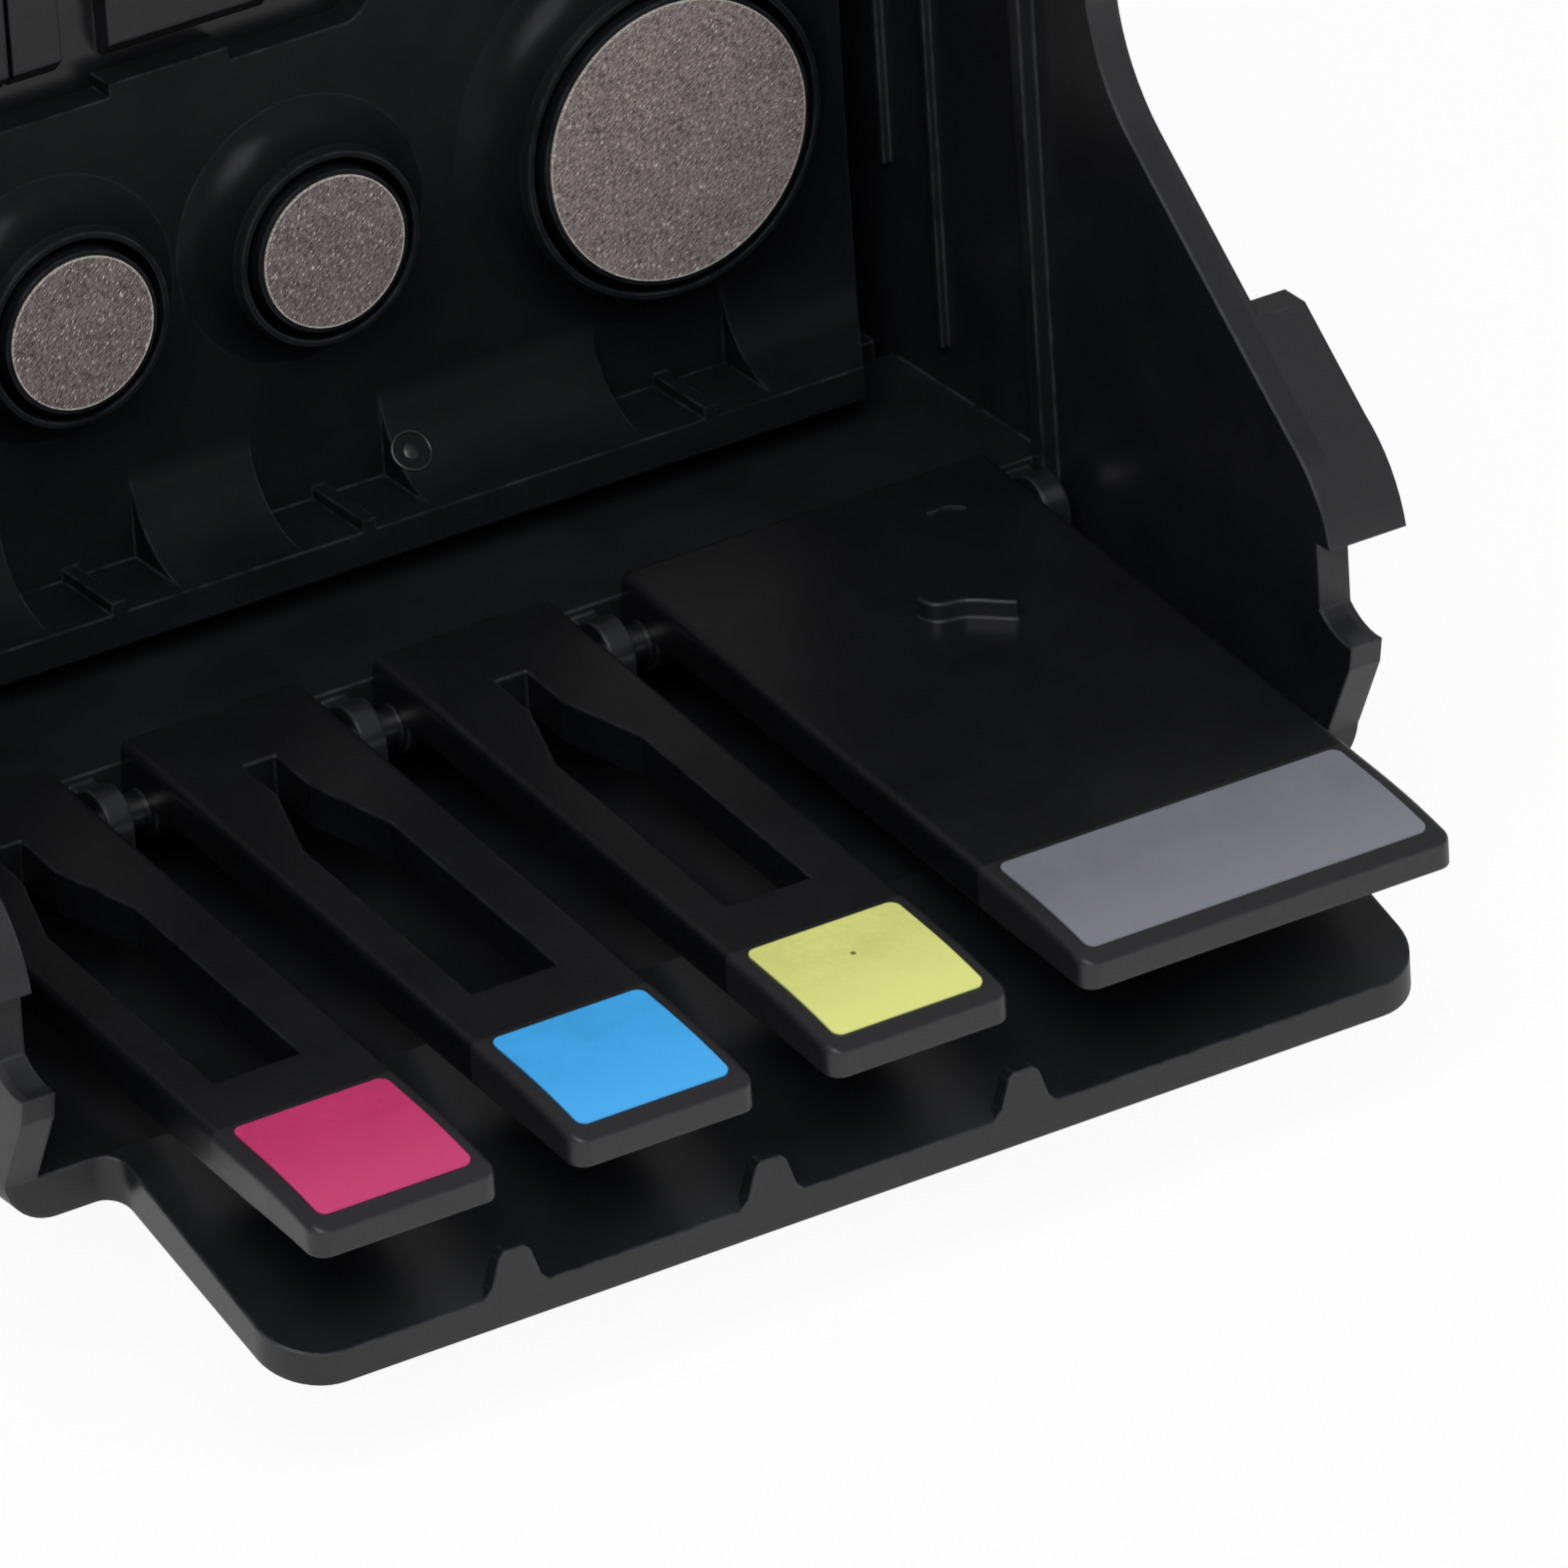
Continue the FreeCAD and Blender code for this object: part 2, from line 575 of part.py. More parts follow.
def port_plate():
    """The wall that the tanks press against."""
    left = -INNER_HALF + PLATE_LEFT_GAP
    right = INNER_HALF - PLATE_RIGHT_GAP
    bottom = LEDGE_TOP_Z - LEDGE_T
    top = TOP_Z - ROOF_T - PLATE_TOP_GAP
    plate = box(left, right, WALL_FACE_Y, PLATE_BACK_Y, bottom, top)
    # The ledge runs into the wall with a cove
    cove_top = LEDGE_TOP_Z + LEDGE_REACH
    lean = LEDGE_REACH * math.sqrt(0.5)
    mid = yz(LEDGE_FRONT_Y + lean, cove_top - lean, left)
    back = WALL_FACE_Y + PLATE_T / 2
    edges = [
        line(yz(LEDGE_FRONT_Y, bottom, left), yz(LEDGE_FRONT_Y, LEDGE_TOP_Z, left)),
        arc(yz(LEDGE_FRONT_Y, LEDGE_TOP_Z, left), mid, yz(WALL_FACE_Y, cove_top, left)),
        line(yz(WALL_FACE_Y, cove_top, left), yz(back, cove_top, left)),
        line(yz(back, cove_top, left), yz(back, bottom, left)),
        line(yz(back, bottom, left), yz(LEDGE_FRONT_Y, bottom, left)),
    ]
    ledge = Part.Face(wire(*edges)).extrude(V(right - left, 0, 0))
    past = right + OVERCUT
    corner = [V(right - LEDGE_CORNER, LEDGE_FRONT_Y - OVERCUT, 0), V(past, LEDGE_FRONT_Y - OVERCUT, 0),
              V(past, WALL_FACE_Y, 0), V(right, WALL_FACE_Y, 0), V(right - LEDGE_CORNER, LEDGE_FRONT_Y, 0)]
    corner = Part.Face(Part.makePolygon(corner + corner[:1])).extrude(V(0, 0, TOP_Z))
    ledge = ledge.cut(corner)
    pads = []
    keys = []
    for name, x, width, radius in SLOTS:
        half = PAD_W / 2
        pads.append(box(x - half, x + half, LEDGE_FRONT_Y - OVERCUT, WALL_FACE_Y, LEDGE_TOP_Z,
                        cove_top + OVERCUT))
        keys.append(box(x - PAD_RIB_W / 2, x + PAD_RIB_W / 2, LEDGE_FRONT_Y, WALL_FACE_Y + INSET,
                        LEDGE_TOP_Z - INSET, LEDGE_TOP_Z + PAD_RIB_H))
    ledge = ledge.cut(pads)
    mounds = [mound(x, r, BLACK_MOUND_FOOT if name == "black" else MOUND_FOOT) for name, x, w, r in SLOTS]
    solid = join(plate, ledge, *(keys + mounds))
    cuts = []
    for name, x, width, radius in SLOTS:
        mouth_r = radius + PIPE_RIM + GROOVE
        start = V(x, FILTER_Y - FILTER_T, PORT_Z)
        cuts.append(rod(mouth_r, MOUND_RISE + PLATE_T + 2 * FILTER_T, start, V(0, 1, 0)))
    cuts.append(window_cut(COLOR_WINDOW_LEFT, COLOR_WINDOW_RIGHT))
    black_window = BLACK_X + CONTACT_OFFSET
    cuts.append(window_cut(black_window - BLACK_WINDOW_HALF, black_window + BLACK_WINDOW_HALF))
    solid = solid.cut(cuts)
    # A raised sill in each slot's stretch of the long window
    sills = []
    for name, x, width, radius in SLOTS[:COLOR_SLOTS]:
        sill_x = x + CONTACT_OFFSET + SILL_OFFSET
        start = max(sill_x - SILL_HALF, COLOR_WINDOW_LEFT - INSET)
        sills.append(box(start, sill_x + SILL_HALF, WALL_FACE_Y, PLATE_BACK_Y, WINDOW_BOTTOM_Z - INSET,
                         WINDOW_BOTTOM_Z + SILL_H))
    return join(solid, *sills)


def contact_block(x0, x1):
    """A contact block that fills a stretch of window, chamfered along its lower front edge."""
    front = WALL_FACE_Y + BLOCK_SETBACK
    low = WINDOW_BOTTOM_Z + BLOCK_GAP
    root = PLATE_BACK_Y + CARRIER_T / 2
    points = [
        (front, low + BLOCK_CHAMFER),
        (front, WINDOW_TOP_Z - FIT_GAP),
        (root, WINDOW_TOP_Z - FIT_GAP),
        (root, low),
        (front + BLOCK_CHAMFER, low),
    ]
    return outline_yz(points, x0, x1)


def contact_places(center):
    """Centres of the contacts of one set."""
    return [center + (k - (CONTACT_COUNT - 1) / 2) * CONTACT_PITCH for k in range(CONTACT_COUNT)]


def spring_low():
    return WINDOW_BOTTOM_Z + BLOCK_GAP + BLOCK_CHAMFER + CONTACT_SLOT_FOOT


def spring_high():
    return WINDOW_TOP_Z - CONTACT_SLOT_TOP


def contact_slots(center):
    """Cuts that the contact springs of one set stand in."""
    front = WALL_FACE_Y + BLOCK_SETBACK
    return [box(x - CONTACT_W / 2, x + CONTACT_W / 2, front - OVERCUT, front + CONTACT_SLOT_DEPTH,
                spring_low(), spring_high()) for x in contact_places(center)]


def carrier(window_left, window_right, blocks, centers):
    """A flange behind the window with its blocks, which keep clear of the window's round corners."""
    flange = box(window_left - CARRIER_LAP, window_right + CARRIER_LAP, PLATE_BACK_Y,
                 PLATE_BACK_Y + CARRIER_T,
                 WINDOW_BOTTOM_Z - CARRIER_LAP, WINDOW_TOP_Z + CARRIER_LAP)
    room = rounded_slab(window_left + FIT_GAP, window_right - FIT_GAP, WALL_FACE_Y, PLATE_BACK_Y + CARRIER_T,
                        WINDOW_BOTTOM_Z + FIT_GAP, WINDOW_TOP_Z - FIT_GAP, WINDOW_CORNER_R)
    solid = join(flange, *[contact_block(a, b).common(room) for a, b in blocks])
    cuts = []
    for center in centers:
        cuts += contact_slots(center)
    return solid.cut(cuts)


def contact_center(number):
    """Middle of one slot's set of contacts."""
    shift = MAGENTA_CONTACT_SHIFT if number == 0 else 0.0
    return SLOTS[number][1] + CONTACT_OFFSET + shift


def contact_carriers():
    """Both contact carriers."""
    block_end = SLOTS[1][1] + LONG_BLOCK_END
    tile_start = block_end + TILE_GAP
    last = SLOTS[2][1] + LAST_BLOCK_START
    blocks = [(COLOR_WINDOW_LEFT, block_end), (tile_start, tile_start + TILE_W), (last, last + LAST_BLOCK_W)]
    centers = [contact_center(k) for k in range(COLOR_SLOTS)]
    color = carrier(COLOR_WINDOW_LEFT, COLOR_WINDOW_RIGHT, blocks, centers)
    center = contact_center(COLOR_SLOTS)
    left = center - BLACK_WINDOW_HALF
    right = center + BLACK_WINDOW_HALF
    black = carrier(left, right, [(left, right)], [center])
    return color, black


def contact_springs(center):
    """One set of bent leaf contacts, a loose group of equal springs."""
    seat = WALL_FACE_Y + BLOCK_SETBACK + CONTACT_SLOT_DEPTH
    low = spring_low() + CONTACT_TAIL / 2
    high = spring_high() - CONTACT_TAIL / 2
    nose = WALL_FACE_Y + BLOCK_SETBACK - CONTACT_PROUD
    middle = (spring_low() + spring_high()) / 2
    t = CONTACT_T
    points = [
        (seat, low),
        (seat - t, low),
        (nose, middle - CONTACT_NOSE),
        (nose, middle + CONTACT_NOSE),
        (seat - t, high - CONTACT_TAIL),
        (seat - t, high),
        (seat, high),
        (seat, high - CONTACT_TAIL - t),
        (nose + t, middle + CONTACT_NOSE - t / 2),
        (nose + t, middle - CONTACT_NOSE + t / 2),
        (seat, low + t * 1.5),
    ]
    half = CONTACT_W / 2 - CONTACT_SIDE_GAP
    return Part.makeCompound([outline_yz(points, x - half, x + half) for x in contact_places(center)])


def manifold():
    """The ink body: standpipes, chambers, ducts and the nozzle snout, in one moulding."""
    block = rounded_slab(-MANIFOLD_HALF, MANIFOLD_HALF, PLATE_BACK_Y, MANIFOLD_BACK_Y, SNOUT_H - OVERCUT,
                         MANIFOLD_TOP_Z, MANIFOLD_R)
    snout = rounded_slab(-SNOUT_HALF, SNOUT_HALF, SNOUT_FRONT_Y, MANIFOLD_BACK_Y, 0, SNOUT_H, SNOUT_R, "Z")
    pipes = []
    cuts = []
    duct_y = MANIFOLD_BACK_Y - CHAMBER_BACK - DUCT_R - DUCT_SETBACK
    for name, x, width, radius in SLOTS:
        start = FILTER_Y + FILTER_PROUD
        length = PLATE_BACK_Y - start
        pipes.append(rod(radius + PIPE_RIM, length + INSET, V(x, start, PORT_Z), V(0, 1, 0)))
        seat_depth = FILTER_Y + FILTER_T - start
        cuts.append(rod(radius + FILTER_GAP, seat_depth, V(x, start, PORT_Z), V(0, 1, 0)))
        chamber = MANIFOLD_BACK_Y - CHAMBER_BACK - start
        cuts.append(rod(radius - PIPE_SEAT, chamber, V(x, start, PORT_Z), V(0, 1, 0)))
        cuts.append(rod(DUCT_R, PORT_Z - DUCT_FOOT_Z, V(x, duct_y, DUCT_FOOT_Z), V(0, 0, 1)))
    # Slanting passages bring the ink from the ducts' feet to the slots over the nozzle chips
    for chip_x, chip_w, fed in chips():
        for slot_x, drop_x in zip(fed, slot_places(chip_x, len(fed))):
            foot = V(slot_x, duct_y, DUCT_FOOT_Z)
            drop = V(drop_x, NOZZLE_MIDDLE_Y, NOZZLE_ROOF_Z)
            run = drop - foot
            cuts.append(rod(PASSAGE_R, run.Length + PASSAGE_R, foot, run))
    half = SNOUT_HALF - SNOUT_RIM
    pocket = box(-half, half, SNOUT_FRONT_Y + SNOUT_RIM, MANIFOLD_BACK_Y - SNOUT_RIM, -OVERCUT, NOZZLE_ROOF_Z)
    notch = box(-FLEX_W / 2 - FIT_GAP, FLEX_W / 2 + FIT_GAP, MANIFOLD_BACK_Y - SNOUT_RIM - OVERCUT,
                MANIFOLD_BACK_Y + OVERCUT, -OVERCUT, NOZZLE_ROOF_Z - CARRIER_PLATE_T)
    cuts += [pocket, notch]
    return join(block, snout, *pipes).cut(cuts)


def chips():
    """Centre, width and fed slots of the two nozzle chips."""
    return [
        (BLACK_CHIP_X, BLACK_CHIP_W, [BLACK_X]),
        (COLOR_CHIP_X, COLOR_CHIP_W, [s[1] for s in SLOTS[:COLOR_SLOTS]]),
    ]


def slot_places(x, count):
    """Centres of the ink slots over a chip."""
    return [x + (k - (count - 1) / 2) * INK_SLOT_PITCH for k in range(count)]


def nozzle_carrier():
    """The plate that holds both chips in the snout."""
    half = SNOUT_HALF - SNOUT_RIM - FIT_GAP
    y0 = SNOUT_FRONT_Y + SNOUT_RIM + FIT_GAP
    y1 = MANIFOLD_BACK_Y - SNOUT_RIM - FIT_GAP
    plate = rounded_slab(-half, half, y0, y1, NOZZLE_ROOF_Z - CARRIER_PLATE_T, NOZZLE_ROOF_Z,
                         CARRIER_PLATE_R, "Z")
    reach = INK_SLOT_LENGTH / 2
    slots = []
    for x, width, fed in chips():
        for slot_x in slot_places(x, len(fed)):
            slots.append(box(slot_x - INK_SLOT_W / 2, slot_x + INK_SLOT_W / 2, NOZZLE_MIDDLE_Y - reach,
                             NOZZLE_MIDDLE_Y + reach, 0, NOZZLE_ROOF_Z + OVERCUT))
    return plate.cut(slots)


def nozzle_chip(x, width, count):
    """A silicon chip with fine rows of nozzles in its lower face."""
    low = NOZZLE_ROOF_Z - CARRIER_PLATE_T - CHIP_T
    half = CHIP_LENGTH / 2
    chip = box(x - width / 2, x + width / 2, NOZZLE_MIDDLE_Y - half, NOZZLE_MIDDLE_Y + half, low,
               low + CHIP_T)
    rows = []
    for slot_x in slot_places(x, count):
        for side in (-NOZZLE_ROW_OFFSET, NOZZLE_ROW_OFFSET):
            row_x = slot_x + side - NOZZLE_ROW_W / 2
            rows.append(box(row_x, row_x + NOZZLE_ROW_W, NOZZLE_MIDDLE_Y - half + NOZZLE_ROW_END,
                            NOZZLE_MIDDLE_Y + half - NOZZLE_ROW_END, low - OVERCUT, low + NOZZLE_ROW_DEPTH))
    return chip.cut(rows)


def flex_circuit():
    """The film round the chips, out of the snout and up the back to the board."""
    film_top = NOZZLE_ROOF_Z - CARRIER_PLATE_T
    bottom = film_top - FLEX_T
    half = FLEX_W / 2
    y0 = SNOUT_FRONT_Y + SNOUT_RIM + 2 * FIT_GAP
    back = MANIFOLD_BACK_Y
    high = BOARD_BOTTOM_Z + FLEX_LAP
    points = [
        (y0, bottom),
        (y0, film_top),
        (back, film_top),
        (back, high),
        (back + FLEX_T, high),
        (back + FLEX_T, film_top),
        (back, bottom),
    ]
    film = outline_yz(points, -half, half)
    cuts = []
    reach = CHIP_LENGTH / 2 + CHIP_GAP
    for x, width, fed in chips():
        cuts.append(box(x - width / 2 - CHIP_GAP, x + width / 2 + CHIP_GAP, NOZZLE_MIDDLE_Y - reach,
                        NOZZLE_MIDDLE_Y + reach, -OVERCUT, film_top + OVERCUT))
    return film.cut(cuts)


def contact_board():
    """The board at the back that the printer's contacts touch."""
    y0 = MANIFOLD_BACK_Y + FLEX_T
    return rounded_slab(-BOARD_W / 2, BOARD_W / 2, y0, y0 + BOARD_T, BOARD_BOTTOM_Z, BOARD_BOTTOM_Z + BOARD_H,
                        BOARD_R)


def gold_pads():
    """Rows of contact pads on the board, a group of equal plates."""
    y0 = MANIFOLD_BACK_Y + FLEX_T + BOARD_T
    lap = COVER_WINDOW_LAP + GOLD_PAD
    step_x = (BOARD_W - 2 * lap) / (PAD_COLUMNS - 1)
    step_z = (BOARD_H - 2 * lap) / (PAD_ROWS - 1)
    solids = []
    for row in range(PAD_ROWS):
        for column in range(PAD_COLUMNS):
            x = -BOARD_W / 2 + lap + column * step_x
            z = BOARD_BOTTOM_Z + lap + row * step_z
            solids.append(box(x - GOLD_PAD / 2, x + GOLD_PAD / 2, y0, y0 + GOLD_PAD_T, z - GOLD_PAD / 2,
                              z + GOLD_PAD / 2))
    return Part.makeCompound(solids)


def rear_cover():
    """The flat cover behind the manifold, with a window for the board's pads."""
    solid = rounded_slab(-OUTER_HALF, OUTER_HALF, COVER_FRONT_Y, REAR_Y, WALL_BOTTOM_Z, TOP_Z, CORNER_R)
    lap = COVER_WINDOW_LAP
    window = rounded_slab(-BOARD_W / 2 + lap, BOARD_W / 2 - lap, COVER_FRONT_Y - OVERCUT, REAR_Y + OVERCUT,
                          BOARD_BOTTOM_Z + lap, BOARD_BOTTOM_Z + BOARD_H - lap, COVER_WINDOW_R)
    cuts = [window]
    for x, z in screw_places():
        start = V(x, COVER_FRONT_Y - OVERCUT, z)
        cuts.append(rod(SCREW_R + SCREW_CLEARANCE, COVER_T + 2 * OVERCUT, start, V(0, 1, 0)))
        cuts.append(rod(SCREW_HEAD_R + SCREW_CLEARANCE, COUNTERBORE, V(x, REAR_Y, z), V(0, -1, 0)))
    return solid.cut(cuts)


def screws():
    """The four rear screws, a group of equal fasteners."""
    seat = REAR_Y - COUNTERBORE
    solids = []
    for x, z in screw_places():
        head = rod(SCREW_HEAD_R, SCREW_HEAD_H, V(x, seat, z), V(0, 1, 0))
        shank_end = COVER_FRONT_Y - SCREW_LENGTH
        shank = rod(SCREW_R - SCREW_THREAD_GAP, seat - shank_end, V(x, shank_end, z), V(0, 1, 0))
        screw = join(head, shank)
        top = seat + SCREW_HEAD_H
        half = RECESS_LENGTH / 2
        wide = box(x - half, x + half, top - RECESS_DEPTH, top + OVERCUT, z - RECESS_W / 2,
                   z + RECESS_W / 2)
        tall = box(x - RECESS_W / 2, x + RECESS_W / 2, top - RECESS_DEPTH, top + OVERCUT, z - half,
                   z + half)
        solids.append(screw.cut([wide, tall]))
    return Part.makeCompound(solids)


def pad_curve(y, rise):
    """Point on the convex front part of a lever's top, rise above the face."""
    angle0 = math.radians(LEVER_SLOPE_DEG)
    start_z = lever_top_z(PAD_START_Y)
    center_y = PAD_START_Y + PAD_R * math.sin(angle0)
    center_z = start_z - PAD_R * math.cos(angle0)
    radius = PAD_R + rise
    return y, center_z + math.sqrt(radius ** 2 - (y - center_y) ** 2)


def straight_top(y, rise):
    """Point over the straight part of a lever's top, rise above the face."""
    angle = math.radians(LEVER_SLOPE_DEG)
    return y - rise * math.sin(angle), lever_top_z(y) + rise * math.cos(angle)


def top_side_edges(body, x0, x1):
    """The long edges of a lever's top face, along its two sides."""
    found = []
    for e in body.Edges:
        b = e.BoundBox
        on_side = b.XLength < 0.01 and (abs(b.XMin - x0) < 0.01 or abs(b.XMin - x1) < 0.01)
        near_top = b.ZMin > lever_top_z(b.YMin) - LEVER_T / 2
        if on_side and near_top and b.YLength > LEVER_T:
            found.append(e)
    return found


def lever(x, width, has_catch):
    """A release lever with its hub, trunnions, catch slot and finger pad."""
    x0 = x - width / 2
    x1 = x + width / 2
    tip_top = pad_curve(FRONT_Y + TIP_CHAMFER, 0)
    tip_face = (FRONT_Y, tip_top[1] - TIP_CHAMFER / 2)
    middle = pad_curve((PAD_START_Y + FRONT_Y + TIP_CHAMFER) / 2, 0)
    rear_top = straight_top(HINGE_Y + HUB_R, 0)
    tip_low = (FRONT_Y, tip_top[1] - LEVER_TIP_T)
    under_middle = (middle[0], middle[1] - (LEVER_T + LEVER_TIP_T) / 2)
    under_start = (PAD_START_Y, lever_top_z(PAD_START_Y) - LEVER_T)
    under_rear = (HINGE_Y - HUB_R, lever_top_z(HINGE_Y - HUB_R) - LEVER_T - HUB_ROOT)

    def at(point):
        return yz(point[0], point[1], x0)

    edges = [
        line(at(rear_top), at((PAD_START_Y, lever_top_z(PAD_START_Y)))),
        arc(at((PAD_START_Y, lever_top_z(PAD_START_Y))), at(middle), at(tip_top)),
        line(at(tip_top), at(tip_face)),
        line(at(tip_face), at(tip_low)),
        arc(at(tip_low), at(under_middle), at(under_start)),
        line(at(under_start), at(under_rear)),
        line(at(under_rear), at((HINGE_Y - HUB_R, HINGE_Z))),
        line(at((HINGE_Y - HUB_R, HINGE_Z)), at((HINGE_Y + HUB_R, HINGE_Z))),
        line(at((HINGE_Y + HUB_R, HINGE_Z)), at(rear_top)),
    ]
    body = Part.Face(wire(*edges)).extrude(V(width, 0, 0))
    # Rounded front corners seen from above, then softened top edges along the sides
    outline = box(x0, x1, FRONT_Y, HINGE_Y + HUB_R + OVERCUT, 0, TOP_Z)
    uprights = [e for e in outline.Edges
                if e.BoundBox.ZLength > LEVER_T and e.BoundBox.YMax < FRONT_Y + FIT_GAP]
    outline = outline.makeFillet(LEVER_CORNER_R, uprights)
    body = body.common(outline)
    body = body.makeFillet(LEVER_EDGE_R, top_side_edges(body, x0, x1))
    hub = rod(HUB_R, width, V(x0, HINGE_Y, HINGE_Z), V(1, 0, 0))
    reach = LEVER_GAP / 2 - EAR_T / 2 + TRUNNION_DEPTH
    pins = rod(TRUNNION_R, width + 2 * reach, V(x0 - reach, HINGE_Y, HINGE_Z), V(1, 0, 0))
    solid = join(body, hub, pins)
    if has_catch:
        solid = solid.cut(catch_cut(x + CATCH_OFFSET))
    return solid


def catch_cut(x):
    """The keyhole slot through a narrow lever that takes its tank's catch."""
    half = CATCH_W / 2
    neck = CATCH_NECK_W / 2
    waist_y = CATCH_SHOULDER_Y + (CATCH_NECK_Y - CATCH_SHOULDER_Y) * 0.6
    right = [
        (x + half, CATCH_FRONT_Y),
        (x + half, CATCH_SHOULDER_Y),
        (x + neck, waist_y),
        (x + neck, CATCH_NECK_Y),
    ]
    left = [(2 * x - a, y) for a, y in reversed(right)]
    rim = [V(a, y, 0) for a, y in right + left]
    return Part.Face(Part.makePolygon(rim + rim[:1])).extrude(V(0, 0, TOP_Z))


def lever_ridge(x):
    """The low wavy ridge on the wide lever's top."""
    near = [V(x + right, HINGE_Y - ahead, 0) for right, ahead in RIDGE_BENDS]
    far = [point + V(RIDGE_T, RIDGE_T, 0) * math.sqrt(0.5) for point in near]
    curves = []
    for points in (near, far):
        curve = Part.BSplineCurve()
        curve.interpolate(points)
        curves.append(curve.toShape())
    rim = [curves[0], line(near[-1], far[-1]), curves[1], line(far[0], near[0])]
    ridge = Part.Face(wire(*Part.__sortEdges__(rim))).extrude(V(0, 0, TOP_Z))
    front = near[-1].y - RIDGE_T
    rear = far[0].y + RIDGE_T
    slope = [
        (front, lever_top_z(front) - INSET),
        (front, lever_top_z(front) + RIDGE_H),
        (rear, lever_top_z(rear) + RIDGE_H),
        (rear, lever_top_z(rear) - INSET),
    ]
    return ridge.common(outline_yz(slope, near[0].x - RIDGE_T, far[-1].x + RIDGE_T))


def label(x, width):
    """A sticker that follows the convex finger pad."""
    front = FRONT_Y + TIP_CHAMFER + LABEL_FRONT_GAP
    rear = front + LABEL_LENGTH
    half = width / 2 - LABEL_MARGIN
    x0 = x - half
    bend = (PAD_START_Y, lever_top_z(PAD_START_Y))
    bend_up = straight_top(PAD_START_Y, LABEL_T)
    mid_y = (front + PAD_START_Y) / 2

    def at(point):
        return yz(point[0], point[1], x0)

    edges = [
        line(at((rear, lever_top_z(rear))), at(bend)),
        arc(at(bend), at(pad_curve(mid_y, 0)), at(pad_curve(front, 0))),
        line(at(pad_curve(front, 0)), at(pad_curve(front, LABEL_T))),
        arc(at(pad_curve(front, LABEL_T)), at(pad_curve(mid_y, LABEL_T)), at(bend_up)),
        line(at(bend_up), at(straight_top(rear, LABEL_T))),
        line(at(straight_top(rear, LABEL_T)), at((rear, lever_top_z(rear)))),
    ]
    sheet = Part.Face(wire(*edges)).extrude(V(2 * half, 0, 0))
    trim = rounded_slab(x - half, x + half, front, rear - 0.02, 0, TOP_Z, LABEL_CORNER_R, "Z")
    return sheet.common(trim)


def save(name, shape):
    """Write one node, after a check that its solids are sound."""
    solids = shape.Solids
    if not solids or not shape.isValid():
        raise ValueError("bad solid: " + name)
    if len(solids) == 1:
        shape = solids[0]
    shape.exportStep(os.path.join("parts", name + ".step"))
    print(name, len(solids), round(shape.Volume, 1))


def main():
    os.makedirs("parts", exist_ok=True)
    save("frame", frame())
    save("port_plate", port_plate())
    save("manifold", manifold())
    color_carrier, black_carrier = contact_carriers()
    save("contact_carrier_color", color_carrier)
    save("contact_carrier_black", black_carrier)
    for number, (name, x, width, radius) in enumerate(SLOTS):
        save("filter_" + name, rod(radius, FILTER_T, V(x, FILTER_Y, PORT_Z), V(0, 1, 0)))
        lever_width = width - LEVER_GAP
        solid = lever(x, lever_width, name != "black")
        if name == "black":
            solid = join(solid, lever_ridge(x))
        save("lever_" + name, solid)
        save("label_" + name, label(x, lever_width))
        save("contacts_" + name, contact_springs(contact_center(number)))
    save("nozzle_carrier", nozzle_carrier())
    for x, width, fed in chips():
        save("nozzle_chip_" + ("black" if len(fed) == 1 else "color"), nozzle_chip(x, width, len(fed)))
    save("flex_circuit", flex_circuit())
    save("contact_board", contact_board())
    save("contact_pads", gold_pads())
    save("rear_cover", rear_cover())
    save("screws", screws())


main()
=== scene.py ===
import bpy
import math
from mathutils import Matrix, Vector

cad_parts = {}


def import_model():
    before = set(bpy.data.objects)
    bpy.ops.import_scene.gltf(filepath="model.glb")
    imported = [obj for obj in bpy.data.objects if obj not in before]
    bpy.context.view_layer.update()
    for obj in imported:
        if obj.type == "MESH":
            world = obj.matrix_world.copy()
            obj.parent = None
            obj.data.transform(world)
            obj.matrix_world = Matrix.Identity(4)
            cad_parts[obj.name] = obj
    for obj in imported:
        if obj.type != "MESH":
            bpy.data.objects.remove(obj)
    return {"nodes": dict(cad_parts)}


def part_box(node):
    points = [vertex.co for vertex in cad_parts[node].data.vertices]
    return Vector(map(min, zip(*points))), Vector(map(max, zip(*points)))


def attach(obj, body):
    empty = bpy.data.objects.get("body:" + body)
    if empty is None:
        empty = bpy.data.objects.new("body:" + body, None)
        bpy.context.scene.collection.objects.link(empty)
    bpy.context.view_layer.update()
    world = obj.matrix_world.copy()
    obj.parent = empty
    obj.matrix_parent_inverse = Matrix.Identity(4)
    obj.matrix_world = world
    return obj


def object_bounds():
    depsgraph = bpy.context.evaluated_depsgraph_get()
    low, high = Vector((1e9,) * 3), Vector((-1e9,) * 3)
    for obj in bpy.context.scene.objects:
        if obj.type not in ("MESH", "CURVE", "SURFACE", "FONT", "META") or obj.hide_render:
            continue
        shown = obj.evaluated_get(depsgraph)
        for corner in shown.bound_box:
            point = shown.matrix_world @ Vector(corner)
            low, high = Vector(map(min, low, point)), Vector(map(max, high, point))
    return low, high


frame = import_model()
CAD_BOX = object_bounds()
MM = 0.001
COLORS = ("magenta", "cyan", "yellow", "black")

# Camera, as solved from the photograph
AIM = Vector((14.9, -4.56, 13.85)) * MM
DISTANCE = 1156.9 * MM
AZIMUTH = -30.70
ELEVATION = 27.24
ROLL = -3.64
LENS = 486.9
SENSOR = 36.0
CLIP_NEAR = 0.05
CLIP_FAR = 20.0

# The lamps' common aim, and the floor's reach and its gap under the part
LAMP_AIM = Vector((0, 0, 30 * MM))
FLOOR_REACH = 3.0
FLOOR_GAP = 0.02 * MM

